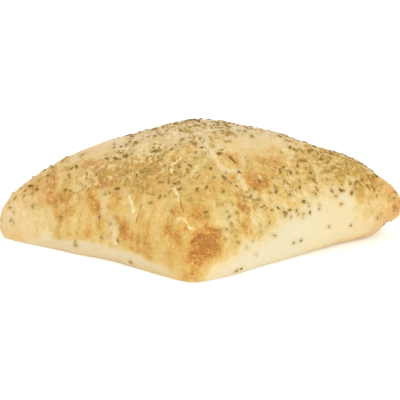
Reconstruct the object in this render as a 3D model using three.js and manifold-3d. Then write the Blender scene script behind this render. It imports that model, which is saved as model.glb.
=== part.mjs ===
// A diamond-shaped bread roll with dried herbs baked onto its crust.
// Millimetres, +Z up. The long diagonal lies along X, the front corner points to -Y, and the roll
// rests on the plane z = 0. Bread and herbs are one solid, because the herbs are stuck to the crust.
import * as THREE from "three";
import { mergeVertices } from "three/addons/utils/BufferGeometryUtils.js";
import Module from "manifold-3d";

// ---------- Driving dimensions ----------
const LENGTH = 150; // left tip to right tip
const WIDTH = 104; // front corner to back corner
const HEIGHT = 44.4; // base to the top of the dome
const CORNER_ROUNDING = { left: 7.5, right: 5, frontAndBack: 6 };
const SIDE_HOLLOW = { left: 0.095, right: 0.045 }; // how far the four sides bow inwards, as a share
const LEFT_TO_RIGHT_BLEND = 15; // distance over which a left value turns into a right value

// The rim is the widest line of the roll. Below it the dough tucks under to the flat base.
const RIM_HEIGHT = { left: 6, right: 11.4, corner: 5, sideLeft: 5.5, sideRight: 7.5 };
const UNDERCUT = { left: 2.2, right: 14.5, corner: 1.4, sideLeft: 3.7, sideRight: 5 };
const UNDERCUT_ROUNDNESS = { left: 2.4, right: 1.8, corner: 1.8, sideLeft: 1.8, sideRight: 1.8 };
const CORNER_SHARPNESS = 6; // how quickly a corner's values fade along the sides
const SIDE_BLEND = 0.25; // the same blend as above, round the rim

// The dome falls from its top to the rim as (1 - distance^slope)^shoulder.
const DOME_SLOPE = { left: 1.25, right: 1.06 };
const DOME_SHOULDER = { left: 0.52, right: 0.482 };
const SKEW = 0.04; // the front corner sits a little to the left of the back one
const TOP_LEAN = 2.2; // the top of the dome leans to the right

// Bulges and hollows that the oven left: place, radius and height along the surface.
const SWELLINGS = [
  { x: 54, y: -6, z: 29, radius: 9, height: 0.7 }, // shoulder before the right tip
  { x: 41, y: -8, z: 32, radius: 8, height: -0.8 }, // dip beside it
  { x: 21, y: -24, z: 30, radius: 6, height: 0.7 }, // blister in the middle of the right face
  { x: 15, y: -35, z: 24, radius: 6, height: 0.6 }, // blister under it
  { x: 2, y: -49, z: 13, radius: 8, height: 0.6 }, // browned nose at the front corner
  { x: -11, y: -29, z: 31, radius: 7, height: -0.6 }, // hollow beside the long crack
  { x: -3, y: -36, z: 26, radius: 7, height: 0.5 },
  { x: -25, y: -30, z: 22, radius: 6, height: -0.6 }, // shrunken patch on the left face
  { x: -32, y: -26, z: 20, radius: 5, height: 0.5 },
  { x: -39, y: -21, z: 20, radius: 5, height: 0.6 },
  { x: -51, y: -15, z: 18, radius: 7, height: 0.5 },
  { x: -45, y: -8, z: 28, radius: 8, height: -0.4 },
  { x: 36, y: -27, z: 14, radius: 11, height: -0.5 }, // flat, pale side wall
  { x: 68, y: 0, z: 4.5, radius: 4.5, height: -3 }, // notch under the lip at the right tip
  { x: 73.5, y: 0, z: 8, radius: 3.5, height: 0.8 }, // the lip itself
  { x: 66, y: 0, z: 22, radius: 6, height: -0.6 }, // dip behind that lip
  { x: -30, y: 22, z: 24, radius: 10, height: 0.8 },
  { x: 4, y: 34, z: 27, radius: 11, height: -0.6 },
  { x: 28, y: 24, z: 24, radius: 9, height: 0.7 },
  { x: 50, y: 12, z: 22, radius: 8, height: -0.5 },
  { x: -55, y: 10, z: 18, radius: 8, height: 0.5 },
];

// Folds and cracks run over the front of the roll: half their width, height, and way in the plan.
const CREASES = [
  {
    // The fold that comes down from the top of the dome and turns off to the right.
    halfWidth: 2.2,
    height: -0.8,
    path: [[-1, -12], [3, -20], [7, -25], [11, -26.5], [17, -30.5]],
  },
  {
    // The torn, raised lip of the long crack, from the left of the top down to the front corner.
    halfWidth: 1.9,
    height: 0.9,
    path: [[-4.6, -16.8], [-10.7, -19.2], [-11.4, -30], [-7.4, -39], [-6.8, -44], [-1.5, -48.5]],
  },
  {
    // The crack itself, in the shadow of that lip.
    halfWidth: 1.6,
    height: -0.9,
    path: [[-8, -21.5], [-8.4, -29.5], [-4.4, -38.5], [-3.6, -43], [-1.5, -46]],
  },
];

// The gentle unevenness all over: height, and the distances over which it rises and falls.
const RIPPLES = [
  { height: 0.3, overX: 4.9, overY: 4.1, overZ: 9, phase: 2.4 },
  { height: 0.3, overX: 7.7, overY: 8.9, overZ: -5.3, phase: 0.3 },
];
const RELIEF_STARTS = 0.5; // height over the base where relief sets in
const RELIEF_FULL = 6; // and where it reaches its full height

// The outline wanders in and out where the cut dough spread unevenly: angle, spread and distance.
const OUTLINE_BULGES = [
  { angle: 215, spread: 8, out: 0.9 },
  { angle: 236, spread: 7, out: -0.4 },
  { angle: 270, spread: 6, out: 0.3 },
  { angle: 283, spread: 7, out: 0.9 },
  { angle: 340, spread: 7, out: -0.3 },
  { angle: 40, spread: 12, out: 0.8 },
  { angle: 70, spread: 10, out: -0.7 },
  { angle: 128, spread: 12, out: 0.8 },
  { angle: 155, spread: 9, out: -0.6 },
];

// Dried herbs.
const HERB_COUNT = 195;
const HERB_SPACING = 3; // centre to centre, so that each flake stands alone
const HERB_SEED = 20117;
const HERB_LENGTH = { least: 1.1, most: 2.1 };
const STEM_LENGTH = { least: 2.4, most: 4 };
const STEM_SHARE = 0.05;
const STEM_WIDTH = 0.6;
const FLAKE_SLIMNESS = { least: 0.42, most: 0.75 }; // width over length
const FLAKE_RISE = 0.3; // how far the flake's edge stands out of the crust
const FLAKE_CURL = 0.15; // how much higher its middle is
const FLAKE_ROOT = 0.6; // how deep it is baked in
const FLAKE_SIDES = 5;
const FLAKE_UNEVENNESS = 0.15; // share by which its outline swings in and out
const HERB_EDGE_LIMIT = 0.97; // nothing lies closer to the rim than this share of the way out

// Where herbs fell thickly, or thinly below zero: centre, reach along X and Y, and weight.
const HERB_FIELDS = [
  { x: -14, y: 1, reachX: 23, reachY: 16, weight: 0.95 },
  { x: 9, y: 6, reachX: 14, reachY: 9, weight: 0.7 },
  { x: 51, y: -3, reachX: 16, reachY: 10, weight: 0.95 },
  { x: 36, y: -16, reachX: 12, reachY: 8, weight: 0.25 },
  { x: 32, y: 15, reachX: 16, reachY: 11, weight: 0.5 },
  { x: -57, y: -3, reachX: 9, reachY: 7, weight: 0.3 },
  { x: 8, y: -36, reachX: 16, reachY: 10, weight: 0.15 },
  { x: -10, y: 32, reachX: 24, reachY: 14, weight: 0.25 },
  { x: 20, y: -9, reachX: 9, reachY: 6, weight: -0.35 },
  { x: -34, y: 2, reachX: 9, reachY: 9, weight: -0.6 },
  { x: 3, y: -48, reachX: 8, reachY: 5, weight: -0.3 },
];
const HERB_FLOOR = 0.07; // and how thinly they fell elsewhere

// ---------- Mesh resolution ----------
const DOME_SHELLS = 20; // square shells from the top of the dome to the rim
const TUCK_RINGS = 4; // rings from the rim down to the base
const HALVINGS = 40; // steps in the search for the rim

const HALF_LENGTH = LENGTH / 2;
const HALF_WIDTH = WIDTH / 2;
const DEGREE = Math.PI / 180;

// ---------- Small helpers ----------
const mix = (a, b, share) => a + (b - a) * share;
const clamp01 = (value) => Math.min(1, Math.max(0, value));
const softAbs = (value, rounding) => Math.hypot(value, rounding) - rounding;
const rightness = (x, blend) => 1 / (1 + Math.exp(-x / blend));
const leftToRight = (x, { left, right }) => mix(left, right, rightness(x, LEFT_TO_RIGHT_BLEND));

function smoothStep(value, from, to) {
  const t = clamp01((value - from) / (to - from));
  return t * t * (3 - 2 * t);
}

// Evenly spread numbers from 0 to 1, the same ones each time.
function seededDraw(seed) {
  let state = seed >>> 0;
  return () => {
    state = (Math.imul(state, 1664525) + 1013904223) >>> 0;
    return state / 4294967296;
  };
}

// ---------- The form of the bread ----------
// 0 at the middle of the plan and 1 on the rim. Its level lines are diamonds with round corners.
function planDistance(x, y) {
  const endRounding = leftToRight(x, CORNER_ROUNDING);
  const sideRounding = CORNER_ROUNDING.frontAndBack;
  const along = softAbs(x, sideRounding) / softAbs(HALF_LENGTH, sideRounding);
  const across = softAbs(y, endRounding) / softAbs(HALF_WIDTH, endRounding);
  return along + across + 4 * leftToRight(x, SIDE_HOLLOW) * along * across;
}

// How far the rim lies in one direction, in units of the plain ellipse through the four corners.
function rimReach(angle) {
  const x = HALF_LENGTH * Math.cos(angle);
  const y = HALF_WIDTH * Math.sin(angle);
  let inside = 0.2;
  let outside = 1.8;
  for (let step = 0; step < HALVINGS; step++) {
    const middle = (inside + outside) / 2;
    if (planDistance(middle * x, middle * y) < 1) inside = middle;
    else outside = middle;
  }
  return inside;
}

// Blends the values at the corners and along the sides into one for this direction.
function roundTheRim(angle, values) {
  const c = Math.cos(angle);
  const s = Math.sin(angle);
  const right = Math.max(0, c) ** CORNER_SHARPNESS;
  const left = Math.max(0, -c) ** CORNER_SHARPNESS;
  const corner = Math.abs(s) ** CORNER_SHARPNESS;
  const side = clamp01(1 - right - left - corner);
  return (
    right * values.right +
    left * values.left +
    corner * values.corner +
    side * mix(values.sideLeft, values.sideRight, rightness(c, SIDE_BLEND))
  );
}

function outlineBulge(angle) {
  let out = 0;
  for (const bulge of OUTLINE_BULGES) {
    const turn = (angle / DEGREE - bulge.angle + 540) % 360 - 180;
    out += bulge.out * Math.exp(-((turn / bulge.spread) ** 2));
  }
  return out;
}

// Everything that depends on the direction alone: the rim's place and height, and the tuck below it.
function rimAt(angle) {
  const a = (angle + 2 * Math.PI) % (2 * Math.PI);
  const reach = rimReach(a);
  const x = reach * HALF_LENGTH * Math.cos(a);
  const y = reach * HALF_WIDTH * Math.sin(a);
  const distance = Math.hypot(x, y);
  return {
    x,
    y,
    distance,
    out: outlineBulge(a),
    height: roundTheRim(a, RIM_HEIGHT),
    undercut: roundTheRim(a, UNDERCUT),
    roundness: roundTheRim(a, UNDERCUT_ROUNDNESS),
  };
}

// The front corner's skew and the dome's lean.
function lean(x, y, z) {
  return new THREE.Vector3(x + SKEW * y + TOP_LEAN * (z / HEIGHT) ** 2, y, z);
}

// A point of the dome: share is 0 at its top and 1 on the rim.
function domePoint(rim, share) {
  const x = share * rim.x;
  const y = share * rim.y;
  const distance = clamp01(planDistance(x, y));
  const fall = 1 - distance ** leftToRight(x, DOME_SLOPE);
  const z = mix(rim.height, HEIGHT, clamp01(fall) ** leftToRight(x, DOME_SHOULDER));
  const stretch = 1 + (rim.out / rim.distance) * share ** 4;
  return lean(x * stretch, y * stretch, z);
}

// A point of the tucked-under side: share is 0 on the rim and 1 on the base.
function tuckPoint(rim, share) {
  const inwards = rim.undercut * (1 - (1 - share ** rim.roundness) ** (1 / rim.roundness));
  const stretch = (rim.distance + rim.out - inwards) / rim.distance;
  return lean(rim.x * stretch, rim.y * stretch, rim.height * (1 - share));
}

// How far a place in the plan lies from a path of straight stretches.
function distanceToPath(x, y, path) {
  let nearest = Infinity;
  for (let k = 1; k < path.length; k++) {
    const [startX, startY] = path[k - 1];
    const [endX, endY] = path[k];
    const alongX = endX - startX;
    const alongY = endY - startY;
    const passed = (x - startX) * alongX + (y - startY) * alongY;
    const share = clamp01(passed / (alongX ** 2 + alongY ** 2));
    nearest = Math.min(nearest, Math.hypot(x - startX - share * alongX, y - startY - share * alongY));
  }
  return nearest;
}

// How far the crust stands out of the smooth form at a point.
function relief({ x, y, z }) {
  let height = 0;
  for (const ripple of RIPPLES) {
    const alongX = Math.sin(x / ripple.overX + ripple.phase);
    height += ripple.height * alongX * Math.sin(y / ripple.overY + z / ripple.overZ + ripple.phase);
  }
  for (const spot of SWELLINGS) {
    const away = (x - spot.x) ** 2 + (y - spot.y) ** 2 + (z - spot.z) ** 2;
    height += spot.height * Math.exp(-away / spot.radius ** 2);
  }
  for (const crease of CREASES) {
    const away = distanceToPath(x, y, crease.path) / crease.halfWidth;
    height += crease.height * Math.exp(-(away ** 2));
  }
  return height * smoothStep(z, RELIEF_STARTS, RELIEF_FULL);
}

// ---------- The bread's mesh ----------
// A square grid is laid over the diamond: its edge is the rim, and rings go on from there.
function breadGeometry() {
  const size = 2 * DOME_SHELLS;
  const points = [];
  const triangles = [];

  const gridIndex = (i, j) => i * (size + 1) + j;
  for (let i = 0; i <= size; i++)
    for (let j = 0; j <= size; j++) {
      const a = i / DOME_SHELLS - 1;
      const b = j / DOME_SHELLS - 1;
      const shell = Math.max(Math.abs(a), Math.abs(b));
      const rim = rimAt(Math.atan2(a + b, a - b));
      points.push(domePoint(rim, Math.sin((shell * Math.PI) / 2)));
    }

  const addQuad = (p, q, r, s) => {
    const shorter = points[p].distanceTo(points[r]) < points[q].distanceTo(points[s]);
    if (shorter) triangles.push(p, q, r, p, r, s);
    else triangles.push(p, q, s, q, r, s);
  };
  for (let i = 0; i < size; i++)
    for (let j = 0; j < size; j++)
      addQuad(gridIndex(i, j), gridIndex(i + 1, j), gridIndex(i + 1, j + 1), gridIndex(i, j + 1));

  // The grid's edge, walked round once in the order that keeps the sides facing out.
  const edge = [];
  for (let k = 0; k < size; k++) edge.push([k, 0]);
  for (let k = 0; k < size; k++) edge.push([size, k]);
  for (let k = size; k > 0; k--) edge.push([k, size]);
  for (let k = size; k > 0; k--) edge.push([0, k]);
  const rims = edge.map(([i, j]) => rimAt(Math.atan2(i + j - size, i - j)));

  let above = edge.map(([i, j]) => gridIndex(i, j));
  for (let ring = 1; ring <= TUCK_RINGS; ring++) {
    const share = Math.sin(((ring / TUCK_RINGS) * Math.PI) / 2);
    const below = rims.map((rim) => points.push(tuckPoint(rim, share)) - 1);
    for (let k = 0; k < edge.length; k++) {
      const next = (k + 1) % edge.length;
      addQuad(above[k], below[k], below[next], above[next]);
    }
    above = below;
  }
  const baseCentre = points.push(new THREE.Vector3(0, 0, 0)) - 1;
  for (let k = 0; k < edge.length; k++)
    triangles.push(above[k], baseCentre, above[(k + 1) % edge.length]);

  const geometry = new THREE.BufferGeometry().setFromPoints(points);
  geometry.setIndex(triangles);
  geometry.computeVertexNormals();
  const position = geometry.getAttribute("position");
  const normal = geometry.getAttribute("normal");
  for (let k = 0; k < points.length; k++) {
    const out = new THREE.Vector3().fromBufferAttribute(normal, k);
    const moved = points[k].clone().addScaledVector(out, relief(points[k]));
    position.setXYZ(k, moved.x, moved.y, Math.max(0, moved.z));
  }
  return geometry;
}

// ---------- Herbs ----------
function herbDensity(x, y) {
  let density = HERB_FLOOR;
  for (const field of HERB_FIELDS) {
    const away = ((x - field.x) / field.reachX) ** 2 + ((y - field.y) / field.reachY) ** 2;
    density += field.weight * Math.exp(-away);
  }
  return clamp01(density);
}

// The flakes fall straight down on the diamond, more of them where the density is high.
function scatterHerbs() {
  const draw = seededDraw(HERB_SEED);
  const herbs = [];
  while (herbs.length < HERB_COUNT) {
    const a = 2 * draw() - 1;
    const b = 2 * draw() - 1;
    const wanted = draw();
    const herb = {
      x: (HALF_LENGTH * (a - b)) / 2,
      y: (HALF_WIDTH * (a + b)) / 2,
      turn: 2 * Math.PI * draw(),
      size: draw(),
      slimness: mix(FLAKE_SLIMNESS.least, FLAKE_SLIMNESS.most, draw()),
      isStem: draw() < STEM_SHARE,
      wobble: 2 * Math.PI * draw(),
    };
    const crowded = herbs.some((h) => Math.hypot(h.x - herb.x, h.y - herb.y) < HERB_SPACING);
    const onRoll = planDistance(herb.x, herb.y) < HERB_EDGE_LIMIT;
    if (wanted < herbDensity(herb.x, herb.y) && onRoll && !crowded) herbs.push(herb);
  }
  return herbs;
}

// The crust's surface above a place in the plan.
function crustPoint(x, y) {
  const rim = rimAt(Math.atan2(y / HALF_WIDTH, x / HALF_LENGTH));
  return domePoint(rim, Math.hypot(x, y) / rim.distance);
}

// A frame on the crust: out of it, and two directions along it.
function crustFrame(x, y) {
  const step = 0.4;
  const eastwards = crustPoint(x + step, y).sub(crustPoint(x - step, y));
  const northwards = crustPoint(x, y + step).sub(crustPoint(x, y - step));
  const out = eastwards.clone().cross(northwards).normalize();
  const origin = crustPoint(x, y);
  origin.addScaledVector(out, relief(origin));
  const east = eastwards.addScaledVector(out, -eastwards.dot(out)).normalize();
  return { origin, out, east, north: out.clone().cross(east) };
}

// A dry scrap of leaf, or a stem: a thin plate with an uneven edge and a raised middle.
function herbGeometry(herb) {
  const { origin, out, east, north } = crustFrame(herb.x, herb.y);
  const lengths = herb.isStem ? STEM_LENGTH : HERB_LENGTH;
  const length = mix(lengths.least, lengths.most, herb.size);
  const width = herb.isStem ? STEM_WIDTH : length * herb.slimness;
  const long = east.clone().multiplyScalar(Math.cos(herb.turn));
  long.addScaledVector(north, Math.sin(herb.turn));
  const short = out.clone().cross(long);

  const place = (along, across, up) =>
    origin.clone().addScaledVector(long, along).addScaledVector(short, across).addScaledVector(out, up);
  const points = [place(0, 0, FLAKE_RISE + FLAKE_CURL), place(0, 0, -FLAKE_ROOT)];
  for (let k = 0; k < FLAKE_SIDES; k++) {
    const angle = (2 * Math.PI * k) / FLAKE_SIDES;
    const uneven = 1 + FLAKE_UNEVENNESS * Math.sin(2 * angle + herb.wobble);
    const along = (length / 2) * Math.cos(angle) * uneven;
    const across = (width / 2) * Math.sin(angle) * uneven;
    points.push(place(along, across, FLAKE_RISE), place(along, across, -FLAKE_ROOT));
  }
  const triangles = [];
  for (let k = 0; k < FLAKE_SIDES; k++) {
    const top = 2 + 2 * k;
    const nextTop = 2 + 2 * ((k + 1) % FLAKE_SIDES);
    triangles.push(0, top, nextTop, 1, nextTop + 1, top + 1);
    triangles.push(top, top + 1, nextTop + 1, top, nextTop + 1, nextTop);
  }
  const geometry = new THREE.BufferGeometry().setFromPoints(points);
  geometry.setIndex(triangles);
  return geometry;
}

// ---------- Joining bread and herbs ----------
const wasm = await Module();
wasm.setup();

function toSolid(geometry) {
  const bare = new THREE.BufferGeometry();
  bare.setAttribute("position", geometry.getAttribute("position"));
  bare.setIndex(geometry.getIndex());
  const merged = mergeVertices(bare, 1e-4);
  return new wasm.Manifold(
    new wasm.Mesh({
      numProp: 3,
      vertProperties: new Float32Array(merged.getAttribute("position").array),
      triVerts: new Uint32Array(merged.getIndex().array),
    }),
  );
}

function toGeometry(solid) {
  const mesh = solid.getMesh();
  const geometry = new THREE.BufferGeometry();
  geometry.setAttribute("position", new THREE.BufferAttribute(mesh.vertProperties, mesh.numProp));
  geometry.setIndex(new THREE.BufferAttribute(mesh.triVerts, 1));
  geometry.computeVertexNormals();
  return geometry;
}

let roll = toSolid(breadGeometry());
for (const herb of scatterHerbs()) roll = roll.add(toSolid(herbGeometry(herb)));

const crust = new THREE.MeshStandardMaterial({ color: 0xe1be77, roughness: 0.6, metalness: 0 });
const rollMesh = new THREE.Mesh(toGeometry(roll), crust);
rollMesh.name = "roll";

const breadRoll = new THREE.Group();
breadRoll.add(rollMesh);
export default breadRoll;
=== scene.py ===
"""A diamond-shaped bread roll with dried herbs baked onto its crust.

The roll lies on its flat base at the origin, with its long diagonal along X and its front corner
towards -Y. The form is worked out in millimetres, as a baker would measure it, and the finished
meshes are in metres.
"""

import itertools
import math
from types import SimpleNamespace

import bpy
import numpy as np
from bpy.props import FloatProperty, FloatVectorProperty, IntProperty, PointerProperty
from mathutils import Matrix, Vector
from mathutils.bvhtree import BVHTree
from mathutils.kdtree import KDTree


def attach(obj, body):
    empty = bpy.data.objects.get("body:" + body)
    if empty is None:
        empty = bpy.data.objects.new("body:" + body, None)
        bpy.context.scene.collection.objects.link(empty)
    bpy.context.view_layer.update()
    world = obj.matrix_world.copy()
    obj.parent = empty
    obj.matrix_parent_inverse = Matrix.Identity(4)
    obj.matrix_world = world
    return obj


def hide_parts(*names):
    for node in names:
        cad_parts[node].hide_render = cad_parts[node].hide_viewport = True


bl_info = {
    "name": "Herb Bread Roll",
    "version": (1, 0, 0),
    "blender": (4, 5, 0),
    "location": "View3D > Sidebar > Bread Roll",
    "description": "Makes a diamond-shaped bread roll with dried herbs on its crust",
    "category": "Add Mesh",
}

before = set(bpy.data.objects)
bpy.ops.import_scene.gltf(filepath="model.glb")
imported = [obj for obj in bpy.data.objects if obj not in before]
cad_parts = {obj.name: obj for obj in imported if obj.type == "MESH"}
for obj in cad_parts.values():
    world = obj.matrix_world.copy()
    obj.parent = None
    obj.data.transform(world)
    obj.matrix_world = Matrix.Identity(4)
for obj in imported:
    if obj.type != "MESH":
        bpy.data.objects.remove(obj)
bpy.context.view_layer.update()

BODY = "root"
NODE = "roll"
MM = 0.001


# ---------------------------------------------------------------------------
# The form of the bread, in millimetres
# ---------------------------------------------------------------------------

CORNER_ROUNDING = SimpleNamespace(left=7.5, right=5, front_and_back=6)
SIDE_HOLLOW = SimpleNamespace(left=0.095, right=0.045)  # how far the sides bow inwards, as a share
LEFT_TO_RIGHT_BLEND = 15  # distance over which a left value turns into a right value

# The rim is the widest line of the roll. Below it the dough tucks under to the flat base.
RIM_HEIGHT = SimpleNamespace(left=6, right=11.4, corner=5, side_left=5.5, side_right=7.5)
UNDERCUT = SimpleNamespace(left=2.2, right=14.5, corner=1.4, side_left=3.7, side_right=5)
UNDERCUT_ROUNDNESS = SimpleNamespace(left=2.4, right=1.8, corner=1.8, side_left=1.8, side_right=1.8)
CORNER_SHARPNESS = 6  # how quickly a corner's values fade along the sides
SIDE_BLEND = 0.25  # the same blend as above, round the rim

# The dome falls from its top to the rim as (1 - distance^slope)^shoulder.
DOME_SLOPE = SimpleNamespace(left=1.25, right=1.06)
DOME_SHOULDER = SimpleNamespace(left=0.52, right=0.482)
SKEW = 0.04  # the front corner sits a little to the left of the back one
TOP_LEAN = 2.2  # the top of the dome leans to the right

# Bulges and hollows that the oven left: place, radius and height along the surface.
SWELLINGS = [
    ((54, -6, 29), 9, 0.7),  # shoulder before the right tip
    ((41, -8, 32), 8, -0.8),  # dip beside it
    ((21, -24, 30), 6, 0.7),  # blister in the middle of the right face
    ((15, -35, 24), 6, 0.6),  # blister under it
    ((2, -49, 13), 8, 0.6),  # browned nose at the front corner
    ((-11, -29, 31), 7, -0.6),  # hollow beside the long crack
    ((-3, -36, 26), 7, 0.5),
    ((-25, -30, 22), 6, -0.6),  # shrunken patch on the left face
    ((-32, -26, 20), 5, 0.5),
    ((-39, -21, 20), 5, 0.6),
    ((-51, -15, 18), 7, 0.5),
    ((-45, -8, 28), 8, -0.4),
    ((36, -27, 14), 11, -0.5),  # flat, pale side wall
    ((68, 0, 4.5), 4.5, -3),  # notch under the lip at the right tip
    ((73.5, 0, 8), 3.5, 0.8),  # the lip itself
    ((66, 0, 22), 6, -0.6),  # dip behind that lip
    ((-30, 22, 24), 10, 0.8),
    ((4, 34, 27), 11, -0.6),
    ((28, 24, 24), 9, 0.7),
    ((50, 12, 22), 8, -0.5),
    ((-55, 10, 18), 8, 0.5),
]

# Folds and cracks over the front of the roll: half their width, height, and way in the plan.
CREASES = [
    # The fold that comes down from the top of the dome and turns off to the right.
    (2.2, -0.8, [(-1, -12), (3, -20), (7, -25), (11, -26.5), (17, -30.5)]),
    # The torn, raised lip of the long crack, and the crack in its shadow.
    (1.9, 0.9, [(-4.6, -16.8), (-10.7, -19.2), (-11.4, -30), (-7.4, -39), (-6.8, -44), (-1.5, -48.5)]),
    (1.6, -0.9, [(-8, -21.5), (-8.4, -29.5), (-4.4, -38.5), (-3.6, -43), (-1.5, -46)]),
]

# The gentle unevenness all over: height, the distances over which it rises and falls, and phase.
RIPPLES = [(0.3, 4.9, 4.1, 9, 2.4), (0.3, 7.7, 8.9, -5.3, 0.3)]
RELIEF_STARTS = 0.5  # height over the base where relief sets in
RELIEF_FULL = 6  # and where it reaches its full height
ROUNDNESS = (75, 52, 40)  # half axes of a round body whose skin faces much as the crust does

# The outline wanders in and out where the cut dough spread unevenly: angle, spread and distance.
OUTLINE_BULGES = [
    (215, 8, 0.9),
    (236, 7, -0.4),
    (270, 6, 0.3),
    (283, 7, 0.9),
    (340, 7, -0.3),
    (40, 12, 0.8),
    (70, 10, -0.7),
    (128, 12, 0.8),
    (155, 9, -0.6),
]
HALVINGS = 40  # steps in the search for the rim


def mix(a, b, share):
    return a + (b - a) * share


def smooth_step(value, low, high):
    t = np.clip((value - low) / (high - low), 0, 1)
    return t * t * (3 - 2 * t)


def soft_abs(value, rounding):
    return np.hypot(value, rounding) - rounding


def past_zero(value, blend):
    """Near 0 well below zero and near 1 well above it, changing over a distance of about blend."""
    return 1 / (1 + np.exp(-value / blend))


def left_to_right(x, values):
    return mix(values.left, values.right, past_zero(x, LEFT_TO_RIGHT_BLEND))


def plan_distance(x, y, half_length, half_width):
    """0 at the middle of the plan and 1 on the rim. Its level lines are diamonds with round corners."""
    end_rounding = left_to_right(x, CORNER_ROUNDING)
    side_rounding = CORNER_ROUNDING.front_and_back
    along = soft_abs(x, side_rounding) / soft_abs(half_length, side_rounding)
    across = soft_abs(y, end_rounding) / soft_abs(half_width, end_rounding)
    return along + across + 4 * left_to_right(x, SIDE_HOLLOW) * along * across


def round_the_rim(angle, values):
    """Blends the values at the corners and along the sides into one for each direction."""
    right = np.maximum(0, np.cos(angle)) ** CORNER_SHARPNESS
    left = np.maximum(0, -np.cos(angle)) ** CORNER_SHARPNESS
    corner = np.abs(np.sin(angle)) ** CORNER_SHARPNESS
    side = np.clip(1 - right - left - corner, 0, 1)
    side_value = mix(values.side_left, values.side_right, past_zero(np.cos(angle), SIDE_BLEND))
    return right * values.right + left * values.left + corner * values.corner + side * side_value


class Bread:
    """The smooth form of the bread for one length, width and height, in millimetres."""

    def __init__(self, length, width, height):
        self.half_length = length / 2
        self.half_width = width / 2
        self.height = height

    def distance(self, x, y):
        return plan_distance(x, y, self.half_length, self.half_width)

    def rim(self, angle):
        """What depends on the direction alone: the rim's place and height, and the tuck below it."""
        angle = np.mod(angle, 2 * math.pi)
        x = self.half_length * np.cos(angle)
        y = self.half_width * np.sin(angle)
        inside = np.full(angle.shape, 0.2)
        outside = np.full(angle.shape, 1.8)
        for _ in range(HALVINGS):
            middle = (inside + outside) / 2
            within = self.distance(middle * x, middle * y) < 1
            inside = np.where(within, middle, inside)
            outside = np.where(within, outside, middle)
        out = np.zeros(angle.shape)
        for centre, spread, distance in OUTLINE_BULGES:
            turn = np.mod(np.degrees(angle) - centre + 540, 360) - 180
            out += distance * np.exp(-((turn / spread) ** 2))
        return SimpleNamespace(
            x=inside * x,
            y=inside * y,
            distance=inside * np.hypot(x, y),
            out=out,
            height=round_the_rim(angle, RIM_HEIGHT),
            undercut=round_the_rim(angle, UNDERCUT),
            roundness=round_the_rim(angle, UNDERCUT_ROUNDNESS),
        )

    def lean(self, x, y, z):
        """The front corner's skew and the dome's lean."""
        return np.stack([x + SKEW * y + TOP_LEAN * (z / self.height) ** 2, y, z], axis=-1)

    def dome(self, rim, share):
        """Points of the dome: share is 0 at its top and 1 on the rim."""
        x = share * rim.x
        y = share * rim.y
        fall = 1 - np.clip(self.distance(x, y), 0, 1) ** left_to_right(x, DOME_SLOPE)
        z = mix(rim.height, self.height, np.clip(fall, 0, 1) ** left_to_right(x, DOME_SHOULDER))
        stretch = 1 + rim.out / rim.distance * share**4
        return self.lean(x * stretch, y * stretch, z)

    def tuck(self, rim, share):
        """Points of the tucked-under side: share is 0 on the rim and 1 on the base."""
        inwards = rim.undercut * (1 - (1 - share**rim.roundness) ** (1 / rim.roundness))
        stretch = (rim.distance + rim.out - inwards) / rim.distance
        return self.lean(rim.x * stretch, rim.y * stretch, rim.height * (1 - share))

    def crust_point(self, x, y):
        """The smooth crust above places in the plan."""
        rim = self.rim(np.arctan2(y / self.half_width, x / self.half_length))
        return self.dome(rim, np.hypot(x, y) / rim.distance)


def distance_to_path(points, path):
    """How far each point lies from a path of straight stretches, in space or in the plan alone."""
    nearest = np.full(len(points), np.inf)
    for start, end in itertools.pairwise(np.array(path, dtype=float)):
        along = end - start
        away = points[:, : len(start)] - start
        share = np.clip(away @ along / (along @ along), 0, 1)
        nearest = np.minimum(nearest, np.linalg.norm(away - share[:, None] * along, axis=1))
    return nearest


def nearness(points, place, radius):
    """1 at a place, fading to 0 a little over a radius away."""
    return np.exp(-((points - np.array(place, dtype=float)) ** 2).sum(axis=1) / radius**2)


def broad_relief(points):
    """How far the crust stands out of the smooth form: what the solid has too."""
    x, y, z = points.T
    height = np.zeros(len(points))
    for rise, over_x, over_y, over_z, phase in RIPPLES:
        height += rise * np.sin(x / over_x + phase) * np.sin(y / over_y + z / over_z + phase)
    for place, radius, rise in SWELLINGS:
        height += rise * nearness(points, place, radius)
    for half_width, rise, path in CREASES:
        height += rise * np.exp(-((distance_to_path(points, path) / half_width) ** 2))
    return height * smooth_step(z, RELIEF_STARTS, RELIEF_FULL)


# ---------------------------------------------------------------------------
# The skin of the bread: what is finer than the solid, and where it is browned
# ---------------------------------------------------------------------------

# Narrow tears in the skin, drawn dark as painted shade and sunk a little into the relief.
TEARS = [
    [(-0.6, -10.4, 41.7), (1.2, -14.5, 40.3), (3.1, -18.1, 38.7), (4, -19.8, 37.8)],
    [(-9.6, -22.4, 35.6), (-11.2, -24.5, 34.6), (-10.9, -27, 32.7), (-10.9, -31.2, 30.1)],
    [(-7.2, -37.4, 27.3), (-6.4, -40.6, 25.6), (-5.6, -42.8, 23.6)],
    [(0.9, -48.5, 17.5), (-0.8, -49.4, 16.4), (-2.7, -50.1, 15.2)],
    [(0.7, -48.7, 17.1), (-1, -49.6, 16), (-2.9, -50.2, 14.8)],
    [(-21, -31.6, 23), (-21.9, -33.2, 19.8), (-22.8, -34.6, 16.6)],
    [(-29.2, -32.8, 10.4), (-29.8, -33.2, 8.8)],
]
LINE_REACH = 1.4  # how far to the sides of a line its marks are kept
TEAR_DEPTH = 0.45
TEAR_HALF_WIDTH = 0.55

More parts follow.
